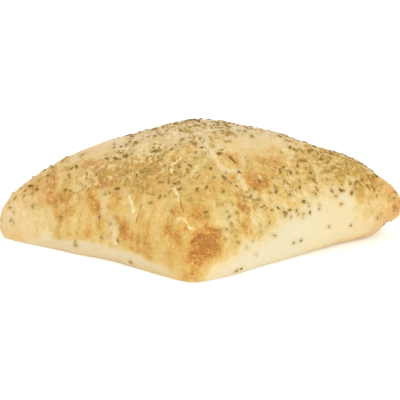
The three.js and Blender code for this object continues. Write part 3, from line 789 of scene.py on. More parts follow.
# Scraps that stand out on the front: place, length, width and turn from level, in degrees.
NOTABLE_SCRAPS = [
    # the top
    ((-27.3, -12.1, 35.2), 2, 1.1, -10), ((-23, -7.4, 38.7), 1.2, 0.8, 30),
    ((-25.8, -5.3, 38.3), 1.3, 0.7, 50), ((-16.5, -14.7, 37.5), 3, 0.9, 35),
    ((-14.9, -18.2, 36.1), 1.2, 1, 0), ((-26.2, -19, 30.8), 1.1, 1, 80),
    ((-16.4, -6.9, 40.9), 1.7, 0.9, 10), ((10.4, -6.6, 42.3), 1.8, 1.1, 15),
    ((12, -7, 42.1), 1.5, 1.1, 100), ((-3.5, -25.7, 35.3), 1.6, 1, -20),
    ((0.7, -16.5, 39.5), 1.5, 0.9, 10), ((7, -18.8, 37.8), 1.3, 1, 0),
    ((3.9, -26.7, 34.7), 1.3, 1, 60), ((5.2, -30.1, 32.4), 1.3, 0.8, 0),
    # the middle of the front
    ((-16.6, -31.5, 26.5), 1.6, 0.8, -10), ((-11.2, -30.1, 30.7), 1, 1.4, 90),
    ((-13.2, -29.3, 30), 1.8, 0.8, 15), ((-9, -30.8, 30.1), 1.4, 0.9, -20),
    ((-3.1, -39.3, 26.7), 1.9, 0.7, -8), ((-9.9, -40.7, 23.1), 1.5, 0.8, 5),
    ((2.3, -42.5, 23.4), 1.6, 0.7, 5), ((2.6, -43.6, 22), 1.3, 1, 0),
    ((8.3, -34.1, 28.2), 1.3, 0.7, 15), ((18.3, -30.5, 25.1), 1.7, 1.5, 60),
    ((19.6, -31.1, 24), 1.7, 1, 0), ((21, -30.3, 24), 1.1, 0.9, 0),
    ((22.5, -31.3, 21.7), 2.7, 0.8, 15), ((25.8, -26, 25.3), 1.1, 1, 0),
    ((27.7, -24.9, 25.3), 1.6, 1.1, 60), ((26.1, -30, 20.1), 1.2, 0.8, 0),
    ((9.8, -38.9, 22.4), 1.2, 1, 60), ((10.6, -39.7, 20.7), 1.4, 0.6, 30),
    ((11.4, -41.1, 18.3), 1.3, 0.9, 80), ((9.6, -43.2, 17.1), 0.9, 0.6, 0),
    ((11.5, -42.6, 16.2), 1.7, 0.9, -5), ((13.6, -43.4, 12.2), 1.4, 1.3, 0),
    ((9.4, -45.3, 14.3), 1.2, 0.6, 10), ((22, -36.5, 13.9), 1.2, 0.5, 10),
    # the left face
    ((-62.7, -4, 20.9), 2, 0.8, 35), ((-60.1, -7.1, 20.4), 1.2, 1.1, 0),
    ((-61.3, -10, 15.4), 2.1, 0.7, 72), ((-70.2, -6.6, 8.2), 1.3, 0.6, 80),
    ((-45.4, -23.3, 4.2), 1.6, 1.4, 10), ((-48, -9.1, 26.7), 1, 0.9, 0),
    ((-49.3, -13.1, 22.2), 1.3, 0.8, 45), ((-47.3, -14.5, 22.3), 1.2, 0.7, -35),
    ((-55.9, -5, 25.2), 1.3, 1, 30), ((-30.7, -11.3, 33.7), 2.8, 0.9, 5),
    ((-33.9, -9.8, 33), 2, 0.6, 0), ((-29.8, -16.3, 31.1), 1.4, 0.9, 0),
    ((-29.8, -22.6, 25.7), 1.6, 0.6, 0), ((-29.4, -33, 9.4), 1.1, 0.5, 65),
    ((-24.8, -36.2, 2.2), 0.9, 0.8, 0),
    # the right face
    ((41.1, -3.7, 34.7), 2.6, 1.2, 0), ((48.6, -2.1, 32.9), 1.8, 1.3, -15),
    ((35.2, -6.5, 35.6), 1.9, 0.9, -40), ((37.8, -9.7, 32.5), 3.2, 0.9, -18),
    ((40.7, -13.1, 28.5), 1.2, 1.1, 0), ((35.8, -15.4, 29.5), 1.2, 1.1, 30),
    ((40.2, -14.9, 27.2), 1.5, 0.8, 0), ((36.4, -17.7, 27.2), 1.1, 1, 0),
    ((36.4, -19.7, 25.3), 1.2, 0.9, 80), ((42.2, -15, 26.4), 2.6, 0.8, -60),
    ((43, -17, 24), 2, 0.7, -80), ((42.5, -18.6, 22.2), 1.3, 0.8, 80),
    ((37.9, -22.3, 20.8), 1.3, 1, 50), ((35, -25.4, 18.2), 1.2, 0.6, 70),
    ((32.5, -26.5, 18.9), 1.3, 1.1, 20), ((32.8, -23.2, 23.8), 1.2, 0.8, 0),
    ((30.7, -16.1, 31.8), 1.2, 0.9, 30), ((30.8, -20.6, 28.1), 1.3, 0.9, 80),
    ((43.5, -21.1, 17.5), 0.8, 0.6, 60), ((48.6, -15.2, 22.5), 1.5, 0.6, -55),
    ((50, -15.7, 20.7), 1, 0.8, 0), ((52.7, -13.5, 22.3), 1.3, 0.6, -25),
    ((51.9, -16.2, 17.8), 1, 0.5, 0), ((55.4, -11.1, 23.9), 1.3, 0.9, 45),
    ((57.5, -10.4, 23.7), 1.3, 0.8, 60), ((57.6, -11.1, 22), 1.3, 1.1, 0),
    ((60.1, -7.5, 24.3), 1.3, 0.9, 30), ((61.9, -7.9, 22.1), 1.2, 0.8, 80),
    ((47.4, -20.8, 10.5), 0.7, 0.5, 0), ((55.8, -14.9, 9.2), 0.7, 0.5, 0),
    ((36.9, -26.9, 7.3), 0.7, 0.6, 0), ((34.2, -28.7, 7), 0.8, 0.6, 0),
    ((14.8, -43.6, 2.4), 1.3, 0.6, 0), ((13.2, -44.6, 1.9), 0.9, 0.6, 20),
    ((72.5, -2.1, 17.5), 1.3, 0.8, -40), ((66.1, -1.6, 23.8), 1.5, 0.9, 0),
    ((45.4, -11.2, 28.2), 1.6, 1.1, 20), ((49.2, -8.5, 29.3), 1.9, 1.3, 30),
    ((54, -8.5, 27.3), 1.5, 1, -30), ((57.9, -5.7, 27.2), 1.7, 1.1, 10),
]


# How scraps of leaf are shaped: how much they narrow to their ends and how soon, how far they bow
# along their length, and how deep a trough they make across.
LEAF_FORMS = [
    SimpleNamespace(narrowing=1.7, taper=1.6, bow=-0.5, trough=0.7),
    SimpleNamespace(narrowing=0.6, taper=2.5, bow=-0.3, trough=0.9),
    SimpleNamespace(narrowing=1.1, taper=1.0, bow=0.35, trough=-0.6),
    SimpleNamespace(narrowing=0.9, taper=3.0, bow=-0.8, trough=0.4),
    SimpleNamespace(narrowing=1.5, taper=1.2, bow=0.5, trough=0.8),
    SimpleNamespace(narrowing=0.3, taper=1.0, bow=-0.4, trough=-0.5),
]


def seeded_draw(seed):
    """Evenly spread numbers from 0 to 1, the same ones each time."""
    state = seed
    while True:
        state = (state * 1664525 + 1013904223) % 2**32
        yield state / 2**32


def field_weight(x, y, fields):
    return sum(
        weight * np.exp(-(((x - cx) / reach_x) ** 2) - ((y - cy) / reach_y) ** 2)
        for cx, cy, reach_x, reach_y, weight in fields
    )


def herb_density(x, y):
    return np.clip(HERB_FLOOR + field_weight(x, y, HERB_FIELDS), 0, 1)


def large_herbs(bread):
    """Place, turn, length, width and kind of the flakes that the solid has too."""
    draw = seeded_draw(HERB_SEED)
    herbs = []
    while len(herbs) < HERB_COUNT:
        a = 2 * next(draw) - 1
        b = 2 * next(draw) - 1
        wanted = next(draw)
        x = bread.half_length * (a - b) / 2
        y = bread.half_width * (a + b) / 2
        turn = 2 * math.pi * next(draw)
        size = next(draw)
        slimness = mix(*FLAKE_SLIMNESS, next(draw))
        is_stem = next(draw) < STEM_SHARE
        tint = next(draw)
        crowded = any(math.hypot(h.x - x, h.y - y) < HERB_SPACING for h in herbs)
        on_roll = bread.distance(x, y) < HERB_EDGE_LIMIT
        if wanted < herb_density(x, y) and on_roll and not crowded:
            length = mix(*(STEM_LENGTH if is_stem else HERB_LENGTH), size)
            width = STEM_WIDTH if is_stem else length * slimness
            herb = SimpleNamespace(
                x=x, y=y, turn=turn, length=length, width=width, is_stem=is_stem, tint=tint
            )
            herbs.append(herb)
    return herbs


def crust_frame(bread, x, y):
    """A place on the crust, the way out of it, and the turn that lays +Z along that way."""
    step = 0.4
    at_x = np.array([x, x + step, x - step, x, x])
    at_y = np.array([y, y, y, y + step, y - step])
    points = bread.crust_point(at_x, at_y)
    eastwards = points[1] - points[2]
    northwards = points[3] - points[4]
    out = np.cross(eastwards, northwards)
    out /= np.linalg.norm(out)
    east = eastwards - out * (eastwards @ out)
    east /= np.linalg.norm(east)
    origin = points[0] + out * broad_relief(points[:1])[0]
    return origin, out, Matrix(np.stack([east, np.cross(out, east), out], axis=1).tolist())


# ---------------------------------------------------------------------------
# Settings that a user would change
# ---------------------------------------------------------------------------


def linear(red, green, blue):
    """A colour given as screen values from 0 to 255, in the renderer's linear values."""
    screen = np.array([red, green, blue]) / 255
    return tuple(np.where(screen <= 0.04045, screen / 12.92, ((screen + 0.055) / 1.055) ** 2.4))


def millimetres(name, description, default):
    return FloatProperty(
        name=name,
        description=description,
        default=default * MM,
        unit="LENGTH",
        subtype="DISTANCE",
        precision=5,
    )


def metres(name, description, default):
    return FloatProperty(
        name=name, description=description, default=default, unit="LENGTH", subtype="DISTANCE"
    )


def amount(name, description, default):
    return FloatProperty(name=name, description=description, default=default, min=0)


def count(name, description, default, least, most):
    return IntProperty(name=name, description=description, default=default, min=least, max=most)


def colour(name, description, *screen):
    return FloatVectorProperty(
        name=name,
        description=description,
        default=linear(*screen),
        subtype="COLOR",
        size=3,
        min=0,
        max=1,
    )


class BreadSizes(bpy.types.PropertyGroup):
    """The bread's overall sizes."""

    length: millimetres("Length", "Left tip to right tip", 150)
    width: millimetres("Width", "Front corner to back corner", 104)
    height: millimetres("Height", "Base to the top of the dome", 44.4)
    dome_shells: count("Dome Shells", "Mesh steps from the dome's top to the rim", 136, 8, 140)
    tuck_rings: count("Tuck Rings", "Mesh steps from the rim down to the base", 12, 3, 16)


class CrustColours(bpy.types.PropertyGroup):
    """The crust's colours, from the sheltered wall to the brownest spot."""

    cream: colour("Cream", "The palest part of the side walls", 218, 206, 171)
    straw: colour("Straw", "Barely baked crust", 222, 201, 150)
    honey: colour("Honey", "Lightly baked crust", 213, 183, 111)
    gold: colour("Gold", "Well baked crust", 205, 163, 79)
    amber: colour("Amber", "Crust on its way to brown", 193, 134, 46)
    brown: colour("Brown", "The brownest spots", 166, 100, 26)
    # The flour colour also draws the pale flecks among the herbs, which are partly painted highlights.
    flour: colour("Flour", "Broken, dry lips of the cracks", 236, 219, 166)
    beige: colour("Beige", "The dull top under the herbs", 209, 188, 146)
    pinched: colour("Pinched", "Pale valleys where the dough was pinched", 222, 204, 160)
    rosy: colour("Rosy", "Where the crust leans to pink", 228, 179, 118)
    mustard: colour("Mustard", "Where the crust leans to yellow", 204, 171, 86)
    # Painted highlight: the near-white middles of the dry blisters.
    blister_glint: colour("Blister", "Dry, whitish blisters", 246, 238, 214)
    # Painted shade deep in the narrow tears.
    tear: colour("Tear", "Deep in the tears", 116, 78, 30)
    stain: colour("Stain", "Where a herb stained the crust around it", 169, 133, 47)
    smudge: colour("Smudge", "Where oil from the herbs soaked in", 166, 134, 50)
    herb_dust: colour("Herb Dust", "Crust darkened by oil and fine herb dust", 178, 145, 65)


class HerbSettings(bpy.types.PropertyGroup):
    """How many herbs there are, and how large."""

    scrap_density: amount("Scrap Density", "Small scraps of leaf per square cm, where thickest", 25)
    crumb_density: amount("Crumb Density", "Crumbs of leaf per square cm, where thickest", 44)
    needle_density: amount("Needle Density", "Thin stalks per square cm, where thickest", 1.2)
    thickness: millimetres("Thickness", "Thickness of the largest dry leaves", 0.135)
    crumple: millimetres("Crumple", "How far a dry leaf is bent out of shape", 0.8)
    seed: IntProperty(name="Seed", description="Changes where the small herbs fell", default=7)
    dark: colour("Dark", "The darkest herbs", 82, 56, 18)
    olive: colour("Olive", "Most of the herbs", 128, 103, 37)
    sage: colour("Sage", "Greener herbs", 151, 128, 54)
    straw: colour("Straw", "The palest herbs", 183, 153, 82)
    faded: colour("Faded", "Herbs that took the crust's colour", 199, 168, 100)
    dry_brown: colour("Dry Brown", "Where herbs dried out and browned", 160, 112, 54)


class StageSettings(bpy.types.PropertyGroup):
    """The floor, the lights and the camera's place."""

    floor_size: metres("Floor Size", "Side of the square floor", 6)
    floor_colour: colour("Floor Colour", "The plain pale floor", 244, 244, 243)
    floor_glow: amount("Floor Glow", "How strongly the floor is lit from below", 0.25)
    key_power: amount("Key Power", "Strength of the large front light, in watts", 8.4)
    fill_power: amount("Fill Power", "Strength of the light from above, in watts", 5)
    sky: amount("Sky", "Strength of the even light from all around", 0.75)
    camera_distance: metres("Camera Distance", "From the camera to its aim", 0.832)
    camera_elevation: FloatProperty(
        name="Camera Elevation",
        description="Angle above the horizon",
        default=math.radians(18),
        unit="ROTATION",
        subtype="ANGLE",
    )
    lens: amount("Lens", "Focal length in millimetres", 200)


class BreadRollSettings(bpy.types.PropertyGroup):
    """Everything that can be set for the roll and its stage."""

    bread: PointerProperty(type=BreadSizes, name="Bread", description="The bread's sizes")
    crust: PointerProperty(type=CrustColours, name="Crust", description="The crust's colours")
    herbs: PointerProperty(type=HerbSettings, name="Herbs", description="The herbs on the crust")
    stage: PointerProperty(type=StageSettings, name="Stage", description="The floor and lights")


# ---------------------------------------------------------------------------
# Building shader and geometry trees
# ---------------------------------------------------------------------------


class Tree:
    """Adds nodes to a tree from left to right and joins them by the names of their sockets."""

    def __init__(self, tree):
        self.tree = tree
        self.count = 0

    def add(self, kind, inputs=None, **settings):
        """A new node. Inputs are given by name or number, as a value or as another node's output."""
        node = self.tree.nodes.new(kind)
        node.location = (220 * (self.count % 12), -260 * (self.count // 12))
        self.count += 1
        for name, value in settings.items():
            setattr(node, name, value)
        for key, value in (inputs or {}).items():
            socket = node.inputs[key]
            if isinstance(value, bpy.types.NodeSocket):
                self.tree.links.new(value, socket)
            else:
                socket.default_value = value
        return node

    def make(self, kind, inputs=None, **settings):
        """The first output of a new node."""
        return self.add(kind, inputs, **settings).outputs[0]

    def math(self, operation, *values, clamp=False):
        return self.make("ShaderNodeMath", dict(enumerate(values)), operation=operation, use_clamp=clamp)

    def noise(self, place, scale, detail, **others):
        """The outputs of a noise pattern. Where no place is given, it reads the surface's own."""
        inputs = {"Scale": scale, "Detail": detail, **others}
        if place is not None:
            inputs["Vector"] = place
        return self.add("ShaderNodeTexNoise", inputs).outputs

    def blend(self, factor, first, second):
        """A colour between two. Sockets 6 and 7 of the Mix node are its colours, and output 2 is theirs."""
        inputs = {"Factor": factor, 6: first, 7: second}
        return self.add("ShaderNodeMix", inputs, data_type="RGBA").outputs[2]

    def cover(self, factor, under, shade):
        """A colour that is covered, by the given share, by one of the settings' shades."""
        return self.blend(factor, under, (*shade, 1))

    def ramp(self, factor, stops):
        """A colour ramp through (position, colour) stops."""
        node = self.add("ShaderNodeValToRGB", {"Fac": factor})
        elements = node.color_ramp.elements
        while len(elements) < len(stops):
            elements.new(0.5)
        for element, (position, shade) in zip(elements, stops):
            element.position = position
            element.color = (*shade, 1)
        return node.outputs["Color"]

    def rescale(self, value, low, high, new_low, new_high):
        """Low becomes new_low and high new_high, with what is between them between, and no further."""
        ends = {"From Min": low, "From Max": high, "To Min": new_low, "To Max": new_high}
        return self.add("ShaderNodeMapRange", {"Value": value, **ends}, clamp=True).outputs["Result"]


def new_group(name, kind, inputs, outputs):
    """An empty node group with the given sockets, and its input and output nodes."""
    group = bpy.data.node_groups.new(name, kind)
    for socket_name, socket_type, default in inputs:
        socket = group.interface.new_socket(name=socket_name, in_out="INPUT", socket_type=socket_type)
        if default is not None:
            socket.default_value = default
    for socket_name, socket_type in outputs:
        group.interface.new_socket(name=socket_name, in_out="OUTPUT", socket_type=socket_type)
    tree = Tree(group)
    return group, tree, tree.add("NodeGroupInput").outputs


def speckle_group():
    """Uneven grain in two sizes, around zero, for a dry, baked surface."""
    name = "Dry Speckle"
    if name in bpy.data.node_groups:
        return bpy.data.node_groups[name]
    sockets = [
        ("Vector", "NodeSocketVector", None),
        ("Coarse Size", "NodeSocketFloat", 0.002),
        ("Fine Size", "NodeSocketFloat", 0.0006),
        ("Fine Share", "NodeSocketFloat", 0.5),
    ]
    group, tree, given = new_group(name, "ShaderNodeTree", sockets, [("Value", "NodeSocketFloat")])
    values = []
    for size in ("Coarse Size", "Fine Size"):
        scale = tree.math("DIVIDE", 1.0, given[size])
        grain = tree.noise(given["Vector"], scale, 2, Roughness=0.55)["Fac"]
        values.append(tree.math("SUBTRACT", grain, 0.5))
    coarse = tree.math("MULTIPLY", values[0], tree.math("SUBTRACT", 1.0, given["Fine Share"]))
    fine = tree.math("MULTIPLY", values[1], given["Fine Share"])
    total = tree.math("MULTIPLY", tree.math("ADD", coarse, fine), 2.0)
    tree.add("NodeGroupOutput", {"Value": total})
    return group


def new_material(name):
    material = bpy.data.materials.new(name)
    material.use_nodes = True
    material.node_tree.nodes.clear()
    return material, Tree(material.node_tree)


def use_group(tree, group, inputs):
    node = tree.add("ShaderNodeGroup", node_tree=group)
    for key, value in inputs.items():
        if isinstance(value, bpy.types.NodeSocket):
            tree.tree.links.new(value, node.inputs[key])
        else:
            node.inputs[key].default_value = value
    return node


def attribute(tree, name):
    return tree.add("ShaderNodeAttribute", attribute_name=name).outputs["Fac"]


# ---------------------------------------------------------------------------
# Materials
# ---------------------------------------------------------------------------


def near_line(tree, name, waver, core, edge):
    """1 on the middle of a line on the skin, fading out towards the edge, given in millimetres."""
    aside = tree.math("ABSOLUTE", attribute(tree, name))
    away = tree.math("ADD", tree.math("ADD", aside, attribute(tree, name + "_end")), waver)
    return tree.rescale(away, core, edge, 1.0, 0.0)


def crust_material(colours):
    """Baked crust: cream to brown by how baked it is, with fine grain, floury lips, painted highlights on
    the blisters and dark tears of painted shade.
    """
    material, tree = new_material("baked_crust")
    place = tree.add("ShaderNodeTexCoord").outputs["Object"]
    grain = {"Vector": place, "Coarse Size": 0.0013, "Fine Size": 0.0007, "Fine Share": 0.5}
    speckle = use_group(tree, speckle_group(), grain).outputs["Value"]
    baked = attribute(tree, "baked")
    browned = tree.rescale(baked, 0.65, 0.95, 0.0, 1.0)
    grained = tree.rescale(baked, 0.0, 1.1, 0.06, 0.84)
    grain_depth = tree.math("ADD", grained, tree.math("MULTIPLY", browned, 0.4))
    shade = tree.math("ADD", baked, tree.math("MULTIPLY", speckle, grain_depth))
    stops = [
        (0.00, colours.cream),
        (0.22, colours.straw),
        (0.42, colours.honey),
        (0.60, colours.gold),
        (0.78, colours.amber),
        (1.00, colours.brown),
    ]
    baked_crust = tree.ramp(shade, stops)
    walled = tree.rescale(baked, 0.1, 0.35, 1.0, 0.0)
    calmed = tree.math("SUBTRACT", 1.0, tree.math("MULTIPLY", browned, 0.8))
    tone = tree.math("MULTIPLY", attribute(tree, "tone"), calmed)
    rosy = tree.cover(tree.rescale(tone, 0.0, 1.2, 0.0, 0.51), baked_crust, colours.rosy)
    toned = tree.cover(tree.rescale(tone, 0.0, -0.8, 0.0, 0.65), rosy, colours.mustard)
    beige = tree.math("MULTIPLY", attribute(tree, "beige"), tree.rescale(baked, 0.50, 0.80, 0.9, 0.2))
    crust = tree.cover(beige, tree.blend(walled, toned, baked_crust), colours.beige)
    uneven = tree.math("ADD", 0.6, speckle)
    dust = tree.math("MULTIPLY", attribute(tree, "dusty"), uneven, clamp=True)
    dusted = tree.cover(dust, crust, colours.herb_dust)
    soaked = tree.noise(place, 620, 2, Roughness=0.6)["Fac"]
    smudge = tree.rescale(soaked, 0.52, 0.66, 0.0, 0.75)
    # Pale flecks among the herbs: partly flour, partly painted highlights.
    pale_fleck_and_glint = tree.rescale(soaked, 0.47, 0.34, 0.0, 0.55)
    herbed = tree.rescale(attribute(tree, "herbed"), 0.0, 0.8, 0.04, 1.0)
    flecked_and_glinting = tree.cover(tree.math("MULTIPLY", pale_fleck_and_glint, herbed), dusted, colours.flour)
    smudged = tree.cover(tree.math("MULTIPLY", smudge, herbed), flecked_and_glinting, colours.smudge)
    halo = tree.math("MULTIPLY", attribute(tree, "stain"), uneven, clamp=True)
    stained = tree.cover(halo, smudged, colours.stain)
    pinched = tree.cover(attribute(tree, "pinched"), stained, colours.pinched)
    waver = tree.math("MULTIPLY", speckle, 0.9)
    broken = tree.rescale(soaked, 0.40, 0.56, 0.35, 1.0)
    lip = tree.math("MULTIPLY", near_line(tree, "lip", waver, 0.20, 0.80), broken)
    floury = tree.math("MULTIPLY", attribute(tree, "floury"), tree.math("ADD", 0.9, speckle), clamp=True)
    floured = tree.cover(tree.math("MAXIMUM", floury, lip), pinched, colours.flour)
    # Painted highlight: the palest middles of the blisters are drawn near white.
    with_painted_glints = tree.cover(tree.rescale(floury, 0.5, 0.9, 0.0, 0.85), floured, colours.blister_glint)
    # Painted shade: the tears are drawn dark, finer than the mesh can hollow them.
    torn = tree.math("MULTIPLY", near_line(tree, "tear", waver, 0.06, 0.36), 0.64)
    finished = tree.cover(torn, with_painted_glints, colours.tear)

    shine = tree.rescale(tree.math("ADD", baked, speckle), 0.1, 1.1, 0.62, 0.4)
    pores = tree.noise(place, 1500, 3, Roughness=0.6)["Fac"]
    wrinkles = tree.noise(place, 520, 2, Distortion=0.6)["Fac"]
    rough_skin = tree.math("ADD", tree.math("MULTIPLY", pores, 0.35), wrinkles)
    bump = tree.add("ShaderNodeBump", {"Strength": 0.8, "Distance": 0.00035, "Height": rough_skin})
    surface = tree.add(
        "ShaderNodeBsdfPrincipled",
        {
            "Base Color": finished,
            "Roughness": shine,
            "Specular IOR Level": 0.3,
            "Sheen Weight": 0.32,
            "Sheen Roughness": 0.5,
            "Sheen Tint": (1.0, 0.85, 0.74, 1.0),
            "Normal": bump.outputs["Normal"],
        },
    )
    tree.add("ShaderNodeOutputMaterial", {"Surface": surface.outputs["BSDF"]})
    return material


def herb_material(herbs):
    """Dry crumbled leaf: each flake has its own shade from dark brown to straw, with a paler rib."""
    material, tree = new_material("dried_herb")
    place = tree.add("ShaderNodeTexCoord").outputs["Object"]
    grain = {"Vector": place, "Coarse Size": 0.0006, "Fine Size": 0.00022, "Fine Share": 0.4}
    speckle = use_group(tree, speckle_group(), grain).outputs["Value"]
    tint = attribute(tree, "tint")
    from_rib = tree.math("ABSOLUTE", tree.math("SUBTRACT", attribute(tree, "across"), 1.0))
    rib = tree.rescale(from_rib, 0.03, 0.14, 0.30, 0.0)
    shade = tree.math("ADD", tree.math("ADD", tint, rib), tree.math("MULTIPLY", speckle, 0.8))
    stops = [
        (0.00, herbs.dark),
        (0.22, herbs.olive),
        (0.50, herbs.sage),
        (0.75, herbs.straw),
        (1.00, herbs.faded),
    ]
    leaf = tree.ramp(shade, stops)
    dryness = tree.math("FRACT", tree.math("MULTIPLY", tint, 7.0))
    split = tree.add("ShaderNodeSeparateXYZ", {"Vector": place}).outputs
    browner_tip = tree.rescale(split["X"], 0.03, 0.065, 0.0, 0.4)
    drier = tree.math("ADD", tree.math("MULTIPLY", dryness, 0.5), browner_tip)
    dried = tree.cover(drier, leaf, herbs.dry_brown)
    # Some lie half baked into the dough and took its colour, above all on the front.
    clusters = tree.noise(place, 160, 1)["Fac"]
    front = tree.rescale(split["Y"], -0.016, -0.036, 0.0, 0.18)
    sunk = tree.math("ADD", tree.rescale(clusters, 0.46, 0.66, 0.0, 0.6), front, clamp=True)
    floured = tree.cover(sunk, dried, herbs.faded)
    bump = tree.add("ShaderNodeBump", {"Strength": 0.5, "Distance": 0.0001, "Height": speckle})
    surface = tree.add(
        "ShaderNodeBsdfPrincipled",
        {
            "Base Color": floured,
            "Roughness": 0.8,
            "Specular IOR Level": 0.12,
            "Normal": bump.outputs["Normal"],
        },
    )
    tree.add("ShaderNodeOutputMaterial", {"Surface": surface.outputs["BSDF"]})
    return material


def floor_material(colour_value, glow):
    """A pale floor that is lit from below a little, like a photographer's light table."""
    material, tree = new_material("plain_floor")
    surface = tree.add(
        "ShaderNodeBsdfPrincipled",
        {
            "Base Color": (*colour_value, 1),
            "Roughness": 0.9,
            "Specular IOR Level": 0.1,
            "Emission Color": (1, 1, 1, 1),
            "Emission Strength": glow,
        },
    )
    tree.add("ShaderNodeOutputMaterial", {"Surface": surface.outputs["BSDF"]})
    return material


# ---------------------------------------------------------------------------
# Meshes
# ---------------------------------------------------------------------------


def vertex_normals(points, faces):
    """Normals of the points of a mesh of quads and triangles, given as lists of equal-sized faces."""
    normals = np.zeros_like(points)
    for group in faces:
        corners = points[group]
        first = corners[:, 2] - corners[:, 0]
        second = corners[:, -1] - corners[:, 1]
        crossed = np.cross(first, second)
        for column in range(group.shape[1]):
            for axis in range(3):
                normals[:, axis] += np.bincount(group[:, column], crossed[:, axis], len(points))
    return normals / np.maximum(np.linalg.norm(normals, axis=1, keepdims=True), 1e-12)


BASE_RINGS = (0.985, 0.94, 0.84, 0.6)  # how far out the rings that close the base lie, as shares


def bread_mesh(bread, shells, rings):
    """The smooth form as points, quads and triangles. A square grid is laid over the diamond: its
    edge is the rim. Rings go on from there to the base, which is closed by ever coarser rings."""
    size = 2 * shells
    steps = np.arange(size + 1) / shells - 1
    a, b = (grid.ravel() for grid in np.meshgrid(steps, steps, indexing="ij"))
    index = np.arange((size + 1) ** 2).reshape(size + 1, size + 1)
    share = np.sin(np.maximum(np.abs(a), np.abs(b)) * math.pi / 2)
    rim = bread.rim(np.arctan2(a + b, a - b))
    layers = [bread.dome(rim, share)]
    squares = np.stack([index[:-1, :-1], index[1:, :-1], index[1:, 1:], index[:-1, 1:]], axis=-1)
    quads = [squares.reshape(-1, 4)]

    # The grid's edge, walked round once in the order that keeps the sides facing out.
    edge = np.concatenate([index[:-1, 0], index[-1, :-1], index[:0:-1, -1], index[0, :0:-1]])
    edge_rim = SimpleNamespace(**{name: values[edge] for name, values in vars(rim).items()})
    above = edge
    start = index.size
    for ring in range(1, rings + 1):
        layers.append(bread.tuck(edge_rim, math.sin(ring / rings * math.pi / 2)))
        below = start + np.arange(len(edge))
        quads.append(np.stack([above, below, np.roll(below, -1), np.roll(above, -1)], axis=-1))
        above = below
        start += len(edge)

    triangles = []
    outline = layers[-1]
    for share in BASE_RINGS:
        outline = outline[::2]
        layers.append(outline * share)
        inner = start + np.arange(len(outline))
        start += len(outline)
        first, middle, last = above[::2], above[1::2], np.roll(above[::2], -1)
        triangles.append(np.stack([first, inner, middle], axis=-1))
        triangles.append(np.stack([middle, inner, np.roll(inner, -1)], axis=-1))
        triangles.append(np.stack([middle, np.roll(inner, -1), last], axis=-1))
        above = inner
    layers.append(np.zeros((1, 3)))
    triangles.append(np.stack([above, np.full(len(above), start), np.roll(above, -1)], axis=-1))
    return np.concatenate(layers), [np.concatenate(quads), np.concatenate(triangles)]


def new_object(name, mesh, material):
    thing = bpy.data.objects.new(name, mesh)
    bpy.context.scene.collection.objects.link(thing)
    if material is not None:
        mesh.materials.clear()
        mesh.materials.append(material)
    return thing


def add_marks(mesh, **marks):
    """Stores a number for each point of a mesh under a name that materials and trees can read."""
    for name, values in marks.items():
        kind = "FLOAT" if np.ndim(values) == 1 else "FLOAT_VECTOR"
        key = "value" if kind == "FLOAT" else "vector"
        layer = mesh.attributes.new(name, kind, "POINT")
        layer.data.foreach_set(key, np.asarray(values, dtype=np.float32).ravel())


def present(piece):
    """Ties a finished piece to the part's body."""
    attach(piece, BODY)


def bread_from(settings):
    return Bread(settings.length / MM, settings.width / MM, settings.height / MM)


# ---------------------------------------------------------------------------
# Geometry Nodes for the herbs
# ---------------------------------------------------------------------------


class GeometryTree(Tree):
    """The same, with the helpers that geometry trees need."""

    def named(self, name, kind="FLOAT"):
        node = self.add("GeometryNodeInputNamedAttribute", {"Name": name}, data_type=kind)
        return node.outputs["Attribute"]

    def keep(self, geometry, name, value):
        """Stores a number for each point under a name."""
        inputs = {"Geometry": geometry, "Name": name, "Value": value}
        return self.make("GeometryNodeStoreNamedAttribute", inputs, data_type="FLOAT", domain="POINT")

    def random(self, low, high, seed, kind="FLOAT"):
        """A different number, or vector, for each element."""
        node = self.add("FunctionNodeRandomValue", data_type=kind)
        pair = {"FLOAT": (2, 3, 1), "FLOAT_VECTOR": (0, 1, 0), "INT": (4, 5, 2)}[kind]
        for number, value in zip(pair[:2], (low, high)):
            if isinstance(value, bpy.types.NodeSocket):
                self.tree.links.new(value, node.inputs[number])
            else:
                node.inputs[number].default_value = value
        if isinstance(seed, bpy.types.NodeSocket):
            self.tree.links.new(seed, node.inputs["Seed"])
        else:
            node.inputs["Seed"].default_value = seed
        return node.outputs[pair[2]]

    def vector(self, x, y, z):
        return self.make("ShaderNodeCombineXYZ", {"X": x, "Y": y, "Z": z})

    def vector_math(self, operation, *values):
        return self.make("ShaderNodeVectorMath", dict(enumerate(values)), operation=operation)

    def lengthened(self, vector, factor):
        return self.make("ShaderNodeVectorMath", {0: vector, "Scale": factor}, operation="SCALE")

    def moved(self, geometry, offset):
        return self.make("GeometryNodeSetPosition", {"Geometry": geometry, "Offset": offset})


LEAF_STEPS = (5, 4)  # points along and across a scrap of leaf
TORN_EDGE = SimpleNamespace(scale=2.3, reach=(0.75, 0.9, 0.5), apart=(7.3, 3.1, 5.7))
LEAF_BEND_SCALE = 900  # how finely the herbs are bent once they lie on the crust


